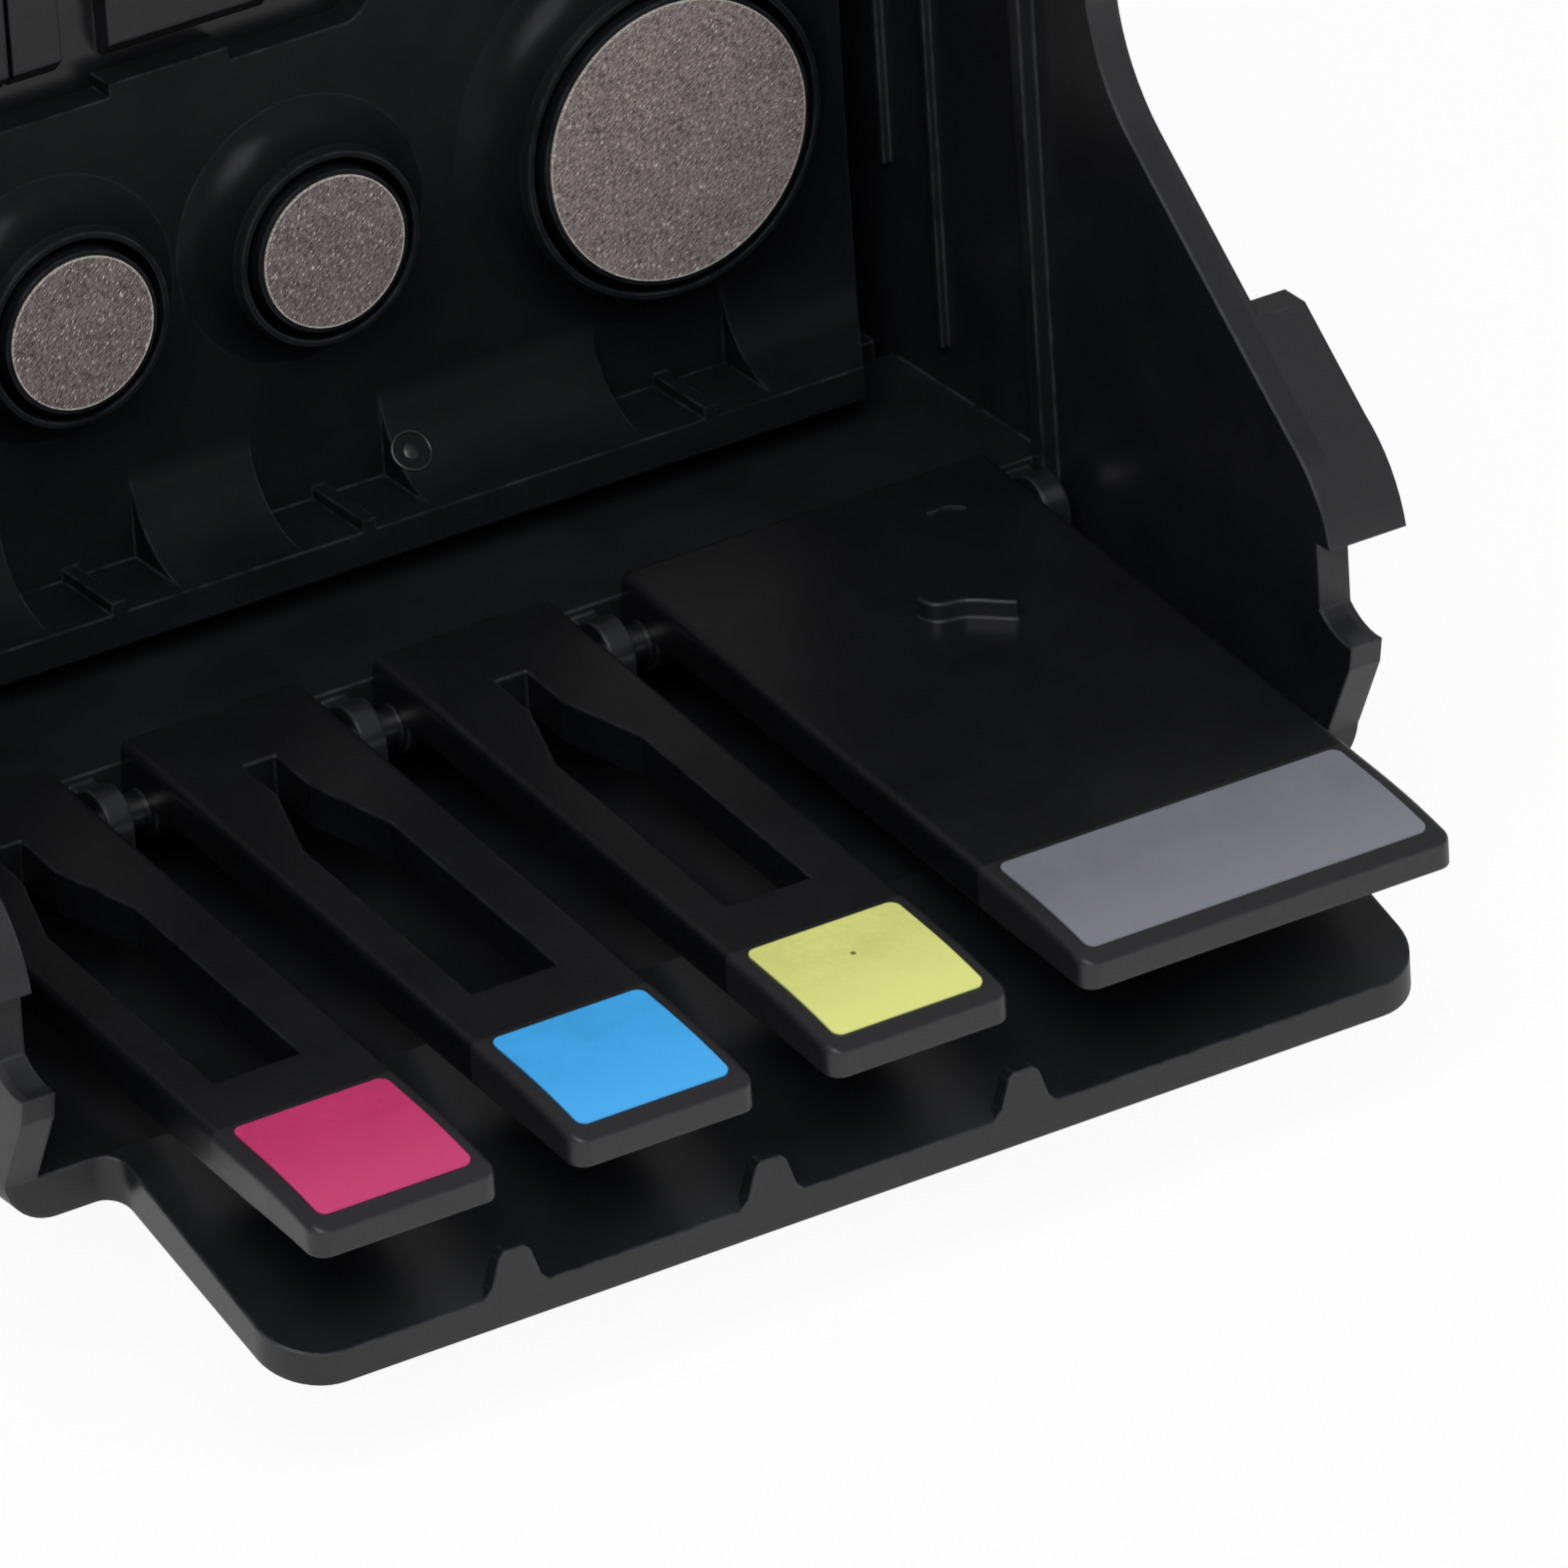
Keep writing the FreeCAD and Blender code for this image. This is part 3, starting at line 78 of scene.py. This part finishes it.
# Floor and world: how bright the camera sees them, the floor's own white and its share of shading,
# and how bright the surround is in everything but the camera's own view
FLOOR_GLOW = 0.995
FLOOR_WHITE = 0.86
FLOOR_SHADE = 0.05
SKY = 0.99
SURROUND = 0.3

# Black plastics, and the colour that a spark texture gives them
BLACK = (0.0082, 0.0089, 0.0110)
WALL_BLACK = (0.0064, 0.0070, 0.0086)
LEVER_BLACK = (0.0045, 0.0049, 0.0061)
TEXTURED_COLOR = (0.0125, 0.0125, 0.0145)
WALL_SPECULAR = 0.07

# How rough they are: smooth, spark textured, and on the levers' finger ends
SMOOTH = 0.3
TEXTURED = 0.5
FINGER_ROUGH = 0.36

# A moulding's patches of tone, gloss and edge wear, the wear mixed with painted edge highlights, and
# how far they swing or lighten the plastic
TONE_PATCH = 6 * MM
TONE_SWING = 0.2
GLOSS_PATCH = 2.5 * MM
GLOSS_SWING = 0.03
EDGE_WEAR_AND_HIGHLIGHT_PATCH = 1.5 * MM
EDGE_WEAR_AND_HIGHLIGHT_LIFT = 4.5

# Its relief: long flow waves, and a grain that is stronger where it is textured
RELIEF = 0.02 * MM
FLOW_WAVE = 11 * MM
FLOW_STRENGTH = 0.3
GRAIN = 0.16 * MM
GRAIN_STRENGTH = 0.12
GRAIN_TEXTURED = 0.75

# Its dust: colour, one cell to a possible speck, the specks' radius, and the share of cells with one
DUST = (0.09, 0.09, 0.085)
DUST_CELL = 6 * MM
DUST_R = 0.07 * MM
DUST_SHARE = 0.12

# Edge roundings that the materials add
BASKET_EDGE = 0.3 * MM
WALL_EDGE = 0.25 * MM
MARK_EDGE = 0.05 * MM
GATE_EDGE = 0.03 * MM

# Reach of the side tabs beyond the walls, and how far inside the flanks' texture still reaches
TAB_REACH = 3.0 * MM
FLANK_DEPTH = 0.5 * MM

# Where the side walls start, and how far in front the floor's and the lip's front faces lie
WALL_INSIDE = 40.9 * MM
FLOOR_BACK = 15 * MM

# How far back the front faces of the contact blocks reach
BLOCK_BACK_Y = 24.2 * MM

# Where the levers' finger ends start, and the front half of their pads, which leans to the light and
# whose stickers get a painted sheen
FINGER_Y = 27.6 * MM
SHEEN_START_Y = -31 * MM
SHEEN_FULL_Y = -36 * MM

# Filter felt: colours of its depths and fibres, its painted fibre glints and painted rim highlight, and
# the painted shade that darkens each size
FELT_DARK = (0.10, 0.079, 0.076)
FELT_LIGHT = (0.52, 0.44, 0.425)
FELT_GLINT = (0.85, 0.8, 0.76)
FELT_RIM_HIGHLIGHT = (0.7, 0.66, 0.6)
FELT_METALLIC = 0.35
FELT_RELIEF = 0.05 * MM
RIM_HIGHLIGHT_START = 0.12 * MM
RIM_HIGHLIGHT_FULL = 0.05 * MM
WIDE_FELT_SHADE = 0.88
NARROW_FELT_SHADE = 0.62

# Stickers: their paints, and a dark speck on the yellow one
PAINTS = {
    "magenta": (0.515, 0.0309, 0.13905),
    "cyan": (0.04635, 0.3811, 0.824),
    "yellow": (0.6798, 0.7107, 0.2163),
    "black": (0.16995, 0.1751, 0.206),
}
YELLOW_SPECK = Vector((2.66, -31.25, 18.5)) * MM
SPECK_R = 0.2 * MM
SPECK_CORE_R = 0.12 * MM

# The cove under the port wall and the ejector mark in it: radius, axis, and the mark's place on it
COVE_R = 5.3 * MM
COVE_AXIS = Vector((7.8, 17.4, 29.9)) * MM
MARK_ANGLE = 42.6
MARK_RING_R = 1.15 * MM
MARK_RING_T = 0.13 * MM
MARK_DOME_R = 0.75 * MM
MARK_DOME_H = 0.22 * MM
MARK_DOME_HOLE = 0.02

# Steps round the mark, round its ring's section, and from its dome's foot to its top
MARK_STEPS = 40
RING_STEPS = 10
DOME_STEPS = 6

# The gate mark on the wide lever: its middle, the lever's slope, and its three arms as angle and length
GATE_AT = Vector((31.4, 4.24, 21.95)) * MM
LEVER_SLOPE = 5.7
GATE_ARMS = ((170, 1.0), (70, 0.6), (-25, 1.3))

# An arm's size at its root, how deep it sits, its crest's share of its width, its bend, and how
# much of its width and height it loses towards its end
GATE_WIDTH = 0.16 * MM
GATE_HEIGHT = 0.2 * MM
GATE_ROOT = 0.05 * MM
GATE_CREST = 0.3
GATE_BEND = 0.12 * MM
GATE_TAPER = 0.7
GATE_FALL = 0.6
GATE_STEPS = 6


class Shader:
    """A material's node tree, with one call per node."""

    def __init__(self, name):
        self.material = bpy.data.materials.new(name)
        self.material.use_nodes = True
        self.tree = self.material.node_tree
        self.bsdf = self.tree.nodes["Principled BSDF"]
        self.output = self.tree.nodes["Material Output"]
        self.place = self.tree.nodes.new("ShaderNodeTexCoord").outputs["Object"]

    def node(self, kind, settings=None, **inputs):
        """Adds a node; an input is named, or numbered as in i0, and is a value or another's output."""
        made = self.tree.nodes.new("ShaderNode" + kind)
        for key, value in (settings or {}).items():
            setattr(made, key, value)
        for key, value in inputs.items():
            numbered = key[0] == "i" and key[1:].isdigit()
            self.set(made.inputs[int(key[1:]) if numbered else key], value)
        return made

    def set(self, socket, value):
        if isinstance(value, bpy.types.NodeSocket):
            self.tree.links.new(value, socket)
        else:
            socket.default_value = value

    def surface(self, color, roughness, normal, metallic=0.0, specular=0.5):
        """Links what varies over the surface, sets what doesn't, and hands the material over."""
        self.set(self.bsdf.inputs["Base Color"], color)
        self.set(self.bsdf.inputs["Roughness"], roughness)
        self.set(self.bsdf.inputs["Normal"], normal)
        self.bsdf.inputs["Metallic"].default_value = metallic
        self.bsdf.inputs["Specular IOR Level"].default_value = specular
        return self.material

    def noise(self, size, detail=2.0, place=None):
        """Noise whose blobs are about size metres across."""
        made = self.node("TexNoise", Scale=1.0 / size, Detail=detail, Vector=place or self.place)
        return made.outputs["Fac"]

    def stretched(self, slant, stretch, size, detail=1.0):
        """Noise drawn out along a slant in the front view, for fibres and brushing."""
        turned = self.node("Mapping", {"vector_type": "TEXTURE"}, Vector=self.place,
                           Rotation=(0.0, math.radians(-slant), 0.0), Scale=(stretch, 1.0, 1.0))
        return self.noise(size, detail, turned.outputs[0])

    def dot(self, a, b):
        return self.node("VectorMath", {"operation": "DOT_PRODUCT"}, i0=a, i1=b).outputs["Value"]

    def away(self, middle):
        """Distance from a point of the part."""
        measured = self.node("VectorMath", {"operation": "DISTANCE"}, i0=self.place, i1=middle)
        return measured.outputs["Value"]

    def facing(self, axis, low, high):
        """0 to 1 as the surface turns towards an axis of the part, such as -Y."""
        normal = self.node("NewGeometry").outputs["Normal"]
        return self.ramp(self.dot(normal, axis), low, high)

    def beyond(self, axis, distance):
        """1 where a point lies further along an axis than a distance."""
        return self.ramp(self.dot(self.place, axis), distance - 0.1 * MM, distance + 0.1 * MM)

    def ramp(self, value, low, high, start=0.0, end=1.0):
        """Maps low..high to start..end, held at both ends."""
        made = self.node("MapRange", {"clamp": True}, Value=value, i1=low, i2=high, i3=start, i4=end)
        return made.outputs[0]

    def math(self, operation, a, b):
        return self.node("Math", {"operation": operation}, i0=a, i1=b).outputs[0]

    def plus(self, a, b):
        return self.math("ADD", a, b)

    def times(self, a, b):
        return self.math("MULTIPLY", a, b)

    def larger(self, a, b):
        return self.math("MAXIMUM", a, b)

    def mix(self, share, a, b):
        """A colour between a and b."""
        made = self.node("Mix", {"data_type": "RGBA"}, i0=share, i6=a, i7=b)
        return made.outputs[2]

    def bump(self, height, distance, strength, normal=None):
        made = self.node("Bump", Strength=strength, Distance=distance, Height=height)
        if normal is not None:
            self.set(made.inputs["Normal"], normal)
        return made.outputs[0]

    def rounded(self, radius):
        """A normal that rounds sharp edges."""
        return self.node("Bevel", {"samples": 4}, Radius=radius).outputs[0]

    def edges(self, radius, low, high):
        """1 on sharp edges and 0 on flats."""
        soft = self.rounded(radius)
        hard = self.node("NewGeometry").outputs["Normal"]
        return self.ramp(self.dot(soft, hard), high, low)

    def specks(self, cell, radius, share):
        """Sparse dots: cell and radius in metres, share of the cells that hold one."""
        cells = self.node("TexVoronoi", Vector=self.place, Scale=1.0 / cell)
        dots = self.ramp(cells.outputs["Distance"], radius / cell, radius / cell * 0.6)
        split = self.node("SeparateColor", Color=cells.outputs["Color"])
        some = self.math("LESS_THAN", split.outputs[0], share)
        return self.times(dots, some)


def rgba(color, factor=1.0, lift=0.0):
    return tuple(c * factor + lift for c in color) + (1.0,)


def moulded(name, color, edge=BASKET_EDGE, textured=None, specular=0.5, rough=TEXTURED):
    """Black moulding: smooth, with a fine spark texture over the share that textured gives."""
    s = Shader(name)
    tone = s.ramp(s.noise(TONE_PATCH, 4.0), 0.3, 0.7)
    base = s.mix(tone, rgba(color, 1 - TONE_SWING), rgba(color, 1 + TONE_SWING))
    patches = s.noise(GLOSS_PATCH, 5.0)
    gloss = s.ramp(patches, 0.25, 0.75, SMOOTH - GLOSS_SWING, SMOOTH + GLOSS_SWING)
    strength = GRAIN_STRENGTH
    if textured:
        share = textured(s)
        base = s.mix(share, base, rgba(TEXTURED_COLOR))
        gloss = s.plus(gloss, s.times(share, rough - SMOOTH))
        strength = s.plus(s.times(share, GRAIN_TEXTURED), GRAIN_STRENGTH)
    # Edge wear and painted edge highlights: sharp edges are lightened in broken patches, standing in
    # for both rubbed edges and lit edge lines.
    worn_and_highlit = s.times(s.edges(edge, 0.93, 0.995), s.ramp(s.noise(EDGE_WEAR_AND_HIGHLIGHT_PATCH, 3.0), 0.35, 0.6))
    base = s.mix(worn_and_highlit, base, rgba(color, EDGE_WEAR_AND_HIGHLIGHT_LIFT))
    base = s.mix(s.specks(DUST_CELL, DUST_R, DUST_SHARE), base, rgba(DUST))
    waves = s.bump(s.noise(FLOW_WAVE), RELIEF, FLOW_STRENGTH, s.rounded(edge))
    relief = s.bump(s.noise(GRAIN, 3.0), RELIEF, strength, waves)
    return s.surface(base, gloss, relief, specular=specular)


def basket_texture(s):
    """Front edges, outer flanks, tabs and the underside of the basket."""
    half = CAD_BOX[1].x - TAB_REACH - FLANK_DEPTH
    flanks = s.larger(s.beyond((1, 0, 0), half), s.beyond((-1, 0, 0), half))
    below = s.facing((0, 0, -1), 0.5, 0.8)
    walls = s.larger(s.beyond((1, 0, 0), WALL_INSIDE), s.beyond((-1, 0, 0), WALL_INSIDE))
    rims = s.larger(walls, s.beyond((0, -1, 0), FLOOR_BACK))
    front = s.times(s.facing((0, -1, 0), 0.5, 0.8), rims)
    return s.larger(s.larger(flanks, below), front)


def lever_texture(s):
    """The finger end of a lever."""
    return s.beyond((0, -1, 0), FINGER_Y)


def block_texture(s):
    """The front faces of the contact blocks, but not the flange behind them."""
    return s.times(s.facing((0, -1, 0), 0.2, 0.6), s.beyond((0, -1, 0), -BLOCK_BACK_Y))


def sintered_mesh(name, shade_factor):
    """A filter: warm grey felted metal fibres laid on a slant, with painted glints, a painted highlight
    on its rim and a painted shade factor.
    """
    s = Shader(name)
    main = s.stretched(42, 4.0, 0.105 * MM, 2.0)
    cross = s.stretched(-35, 3.0, 0.105 * MM, 2.0)
    steep = s.stretched(75, 3.5, 0.1 * MM)
    fibres = s.plus(s.times(main, 0.55), s.plus(s.times(cross, 0.2), s.times(steep, 0.25)))
    grain = s.noise(0.09 * MM, 1.0)
    cloud = s.noise(1.6 * MM, 4.0)
    tone = s.plus(s.times(fibres, 0.75), s.plus(s.times(grain, 0.15), s.times(cloud, 0.1)))
    # Both felt tones are darkened by the size's factor, a painted shade.
    base = s.mix(s.ramp(tone, 0.42, 0.6), rgba(FELT_DARK, shade_factor), rgba(FELT_LIGHT, shade_factor))
    # Painted glints: where the fibre noises cross brightest, the felt turns near white.
    base = s.mix(s.ramp(s.times(main, steep), 0.36, 0.42), base, rgba(FELT_GLINT))
    # Painted rim highlight: a lighter ring at the disc's edge, its burr brightened to stand in for the
    # lit edge.
    low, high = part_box(name)
    radius = (high.x - low.x) / 2
    rim_highlight = s.ramp(s.away((low + high) / 2), radius - RIM_HIGHLIGHT_START, radius - RIM_HIGHLIGHT_FULL)
    base = s.mix(s.times(rim_highlight, s.ramp(grain, 0.3, 0.6)), base, rgba(FELT_RIM_HIGHLIGHT))
    rough = s.ramp(fibres, 0.4, 0.7, 0.62, 0.42)
    return s.surface(base, rough, s.bump(tone, FELT_RELIEF, 0.9), metallic=FELT_METALLIC)


def film(name, color, speck=None):
    """A printed satin sticker with faint print mottle, a painted sheen on its front half and rare dark
    dots.
    """
    s = Shader(name)
    mottle = s.noise(0.35 * MM, 3.0)
    patches = s.noise(3 * MM)
    tone = s.plus(s.times(mottle, 0.4), s.times(patches, 0.6))
    base = s.mix(s.ramp(tone, 0.35, 0.65), rgba(color, 0.93), rgba(color, 1.07))
    along = s.node("SeparateXYZ", Vector=s.place).outputs[1]
    # Painted sheen: the sticker's front half is lightened, standing in for the brighter surround it
    # reflects.
    base = s.mix(s.ramp(along, SHEEN_START_Y, SHEEN_FULL_Y), base, rgba(color, 1.07, 0.012))
    base = s.mix(s.specks(4.2 * MM, 0.12 * MM, 0.1), base, rgba(color, 0.25))
    if speck:
        base = s.mix(s.ramp(s.away(speck), SPECK_R, SPECK_CORE_R), base, rgba(color, 0.2))
    rough = s.ramp(mottle, 0.3, 0.7, 0.38, 0.5)
    return s.surface(base, rough, s.bump(mottle, 0.006 * MM, 0.5, s.rounded(0.05 * MM)))


def metal(name, color, rough):
    """Plated or brushed metal with fine streaks."""
    s = Shader(name)
    streaks = s.stretched(0, 8.0, 0.4 * MM, 2.0)
    tarnish = s.ramp(s.noise(1.2 * MM, 4.0), 0.4, 0.7)
    base = s.mix(tarnish, rgba(color), rgba(color, 0.7))
    gloss = s.ramp(streaks, 0.3, 0.7, rough - 0.08, rough + 0.1)
    relief = s.bump(streaks, 0.004 * MM, 0.6, s.rounded(0.08 * MM))
    return s.surface(base, gloss, relief, metallic=1.0)


def glossy(name, color, second, rough, size=1.5 * MM):
    """Film, board, silicon or ceramic: two tones in clouds under a smooth surface."""
    s = Shader(name)
    cloud = s.noise(size, 3.0)
    base = s.mix(s.ramp(cloud, 0.35, 0.65), rgba(color), rgba(second))
    gloss = s.ramp(s.noise(size * 0.4, 3.0), 0.3, 0.7, rough, rough + 0.12)
    return s.surface(base, gloss, s.bump(cloud, 0.01 * MM, 0.4, s.rounded(0.1 * MM)))


def dress(names, material):
    """Gives CAD nodes one material."""
    for name in names:
        node = frame["nodes"][name]
        node.data.materials.clear()
        node.data.materials.append(material)


def each(prefix):
    """Names of the four nodes of a kind, one to a tank."""
    return [prefix + "_" + color for color in COLORS]


def materials():
    basket = moulded("basket_plastic", BLACK, textured=basket_texture)
    dress(["frame", "rear_cover"], basket)
    wall = moulded("wall_plastic", WALL_BLACK, WALL_EDGE, specular=WALL_SPECULAR)
    dress(["port_plate", "manifold"], wall)
    lever = moulded("lever_plastic", LEVER_BLACK, textured=lever_texture, rough=FINGER_ROUGH)
    dress(each("lever"), lever)
    carrier = moulded("carrier_plastic", LEVER_BLACK, textured=block_texture)
    dress(["contact_carrier_color", "contact_carrier_black"], carrier)
    for name in each("filter"):
        # One felt for all four filters, darkened by painted shade, the narrow ones more.
        dress([name], sintered_mesh(name, WIDE_FELT_SHADE if name == "filter_black" else NARROW_FELT_SHADE))
    for color, paint in PAINTS.items():
        speck = YELLOW_SPECK if color == "yellow" else None
        dress(["label_" + color], film("label_film_" + color, paint, speck))
    gold = metal("gold_plate", (0.83, 0.58, 0.24), 0.28)
    dress(each("contacts") + ["contact_pads"], gold)
    zinc = metal("zinc_plate", (0.55, 0.55, 0.57), 0.34)
    dress(["screws"], zinc)
    silicon = glossy("polished_silicon", (0.05, 0.05, 0.065), (0.07, 0.065, 0.08), 0.12)
    dress(["nozzle_chip_black", "nozzle_chip_color"], silicon)
    ceramic = glossy("fired_ceramic", (0.56, 0.54, 0.49), (0.5, 0.48, 0.43), 0.45)
    dress(["nozzle_carrier"], ceramic)
    amber = glossy("amber_film", (0.33, 0.12, 0.025), (0.27, 0.09, 0.018), 0.22, 4 * MM)
    dress(["flex_circuit"], amber)
    mask = glossy("solder_mask", (0.012, 0.09, 0.04), (0.01, 0.075, 0.033), 0.3, 3 * MM)
    dress(["contact_board"], mask)


def add_object(name, points, faces, material):
    """A mesh object in the scene."""
    mesh = bpy.data.meshes.new(name)
    mesh.from_pydata(points, [], faces)
    mesh.materials.append(material)
    made = bpy.data.objects.new(name, mesh)
    bpy.context.scene.collection.objects.link(made)
    return made


def circle(steps):
    """Angles of even steps round a circle."""
    return [2 * math.pi * i / steps for i in range(steps)]


def on_cove(reach, turn, lift):
    """A point over the cove: reach and turn round the mark's middle, lift off the surface."""
    angle = math.radians(MARK_ANGLE) - reach * math.sin(turn) / COVE_R
    out = COVE_R - lift
    return COVE_AXIS + Vector((reach * math.cos(turn), math.cos(angle) * out, -math.sin(angle) * out))


def mark_ring():
    """Points and faces of the ejector mark's ring."""
    points = []
    faces = []
    for i, turn in enumerate(circle(MARK_STEPS)):
        here = i * RING_STEPS
        there = (i + 1) % MARK_STEPS * RING_STEPS
        for j, roll in enumerate(circle(RING_STEPS)):
            reach = MARK_RING_R + MARK_RING_T * math.cos(roll)
            points.append(on_cove(reach, turn, MARK_RING_T * math.sin(roll)))
            k = (j + 1) % RING_STEPS
            faces.append((here + j, there + j, there + k, here + k))
    return points, faces


def mark_dome(start):
    """Points and faces of its dome, closed at its foot and top; start is its first point's number."""
    points = []
    faces = []
    line = DOME_STEPS + 1
    for i, turn in enumerate(circle(MARK_STEPS)):
        here = start + i * line
        there = start + (i + 1) % MARK_STEPS * line
        for j in range(line):
            reach = MARK_DOME_R * (1 - j / DOME_STEPS * (1 - MARK_DOME_HOLE))
            lift = MARK_DOME_H * (1 - (reach / MARK_DOME_R) ** 2) - MARK_RING_T
            points.append(on_cove(reach, turn, lift))
        for j in range(DOME_STEPS):
            faces.append((here + j, there + j, there + j + 1, here + j + 1))
    foot = range(start, start + MARK_STEPS * line, line)
    faces.append(tuple(point + DOME_STEPS for point in foot))
    faces.append(tuple(reversed(foot)))
    return points, faces


def ejector_mark():
    """The ring and shallow dome that an ejector pin left in the cove."""
    points, faces = mark_ring()
    more_points, more_faces = mark_dome(len(points))
    plastic = moulded("mark_plastic", BLACK, MARK_EDGE)
    piece = add_object("ejector_mark", points + more_points, faces + more_faces, plastic)
    piece.data.polygons.foreach_set("use_smooth", [True] * len(piece.data.polygons))
    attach(piece, "basket")


def gate_mark():
    """Three small torn ridges where the moulding's gate was broken off the wide lever."""
    points = []
    faces = []
    tilt = Matrix.Rotation(math.radians(LEVER_SLOPE), 3, "X")
    for angle, length in GATE_ARMS:
        turn = Matrix.Rotation(math.radians(angle), 3, "Z")
        start = len(points)
        for i in range(GATE_STEPS + 1):
            t = i / GATE_STEPS
            bend = GATE_BEND * math.sin(math.pi * t)
            foot = GATE_WIDTH * (1 - GATE_TAPER * t) / 2
            crest = foot * GATE_CREST
            high = GATE_HEIGHT * (1 - GATE_FALL * t)
            section = ((-foot, -GATE_ROOT), (-crest, high), (crest, high), (foot, -GATE_ROOT))
            for side, lift in section:
                arm = Vector((t * length * MM, bend + side, lift))
                points.append(GATE_AT + tilt @ (turn @ arm))
        for i in range(GATE_STEPS):
            a = start + 4 * i
            for j in range(4):
                k = (j + 1) % 4
                faces.append((a + j, a + k, a + 4 + k, a + 4 + j))
        faces.append((start, start + 3, start + 2, start + 1))
        end = start + 4 * GATE_STEPS
        faces.append((end, end + 1, end + 2, end + 3))
    piece = add_object("gate_mark", points, faces, moulded("gate_plastic", BLACK, GATE_EDGE))
    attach(piece, "black_lever")


def white_floor(name):
    """White for the camera and for mirror images, with real shading for the object's shadow."""
    s = Shader(name)
    s.tree.nodes.remove(s.bsdf)
    path = s.node("LightPath").outputs
    seen = s.larger(path["Is Camera Ray"], path["Is Transmission Ray"])
    seen = s.larger(seen, path["Is Glossy Ray"])
    light = s.node("Emission", Color=rgba((1.0, 1.0, 1.0)), Strength=FLOOR_GLOW)
    diffuse = s.node("BsdfDiffuse", Color=rgba((FLOOR_WHITE, FLOOR_WHITE, FLOOR_WHITE)))
    share = s.times(seen, 1.0 - FLOOR_SHADE)
    blend = s.node("MixShader", i0=share, i1=diffuse.outputs[0], i2=light.outputs[0])
    s.set(s.output.inputs["Surface"], blend.outputs[0])
    return s.material


def floor():
    r = FLOOR_REACH
    corners = [(-r, -r, 0), (r, -r, 0), (r, r, 0), (-r, r, 0)]
    ground = add_object("floor", corners, [(0, 1, 2, 3)], white_floor("floor_white"))
    ground.location.z = CAD_BOX[0].z - FLOOR_GAP


def world():
    """A soft even surround, white where the camera sees it."""
    made = bpy.data.worlds.new("studio")
    bpy.context.scene.world = made
    made.use_nodes = True
    tree = made.node_tree
    back = tree.nodes["Background"]
    path = tree.nodes.new("ShaderNodeLightPath")
    level = tree.nodes.new("ShaderNodeMapRange")
    tree.links.new(path.outputs["Is Camera Ray"], level.inputs["Value"])
    level.inputs["To Min"].default_value = SURROUND
    level.inputs["To Max"].default_value = SKY
    back.inputs["Color"].default_value = rgba((1.0, 1.0, 1.0))
    tree.links.new(level.outputs[0], back.inputs["Strength"])


def direction(azimuth, elevation):
    """The way from the part to a camera or lamp, by degrees round from its front and up."""
    a = math.radians(azimuth)
    e = math.radians(elevation)
    return Vector((math.sin(a) * math.cos(e), -math.cos(a) * math.cos(e), math.sin(e)))


def lamp(name, azimuth, elevation, distance, size, power, mirrored):
    """A square softbox aimed at the object, with or without a mirror image in glossy faces."""
    data = bpy.data.lights.new(name, "AREA")
    data.size = size
    data.energy = power
    made = bpy.data.objects.new(name, data)
    made.visible_glossy = mirrored
    back = direction(azimuth, elevation)
    made.location = LAMP_AIM + back * distance
    made.rotation_mode = "QUATERNION"
    made.rotation_quaternion = (-back).to_track_quat("-Z", "Y")
    bpy.context.scene.collection.objects.link(made)


def lights():
    lamp("key", azimuth=-35, elevation=48, distance=0.8, size=0.5, power=4.6, mirrored=True)
    lamp("fill", azimuth=40, elevation=35, distance=0.9, size=0.6, power=1.6, mirrored=False)


def camera():
    data = bpy.data.cameras.new("camera")
    data.sensor_width = SENSOR
    data.lens = LENS
    data.clip_start = CLIP_NEAR
    data.clip_end = CLIP_FAR
    made = bpy.data.objects.new("camera", data)
    back = direction(AZIMUTH, ELEVATION)
    right = direction(AZIMUTH + 90, 0)
    up = back.cross(right)
    turn = Matrix.Rotation(math.radians(ROLL), 3, back)
    axes = Matrix((turn @ right, turn @ up, back)).transposed()
    made.matrix_world = Matrix.Translation(AIM + back * DISTANCE) @ axes.to_4x4()
    bpy.context.scene.collection.objects.link(made)
    bpy.context.scene.camera = made


materials()
ejector_mark()
gate_mark()
floor()
world()
lights()
camera()
bpy.context.scene.view_settings.view_transform = "Standard"
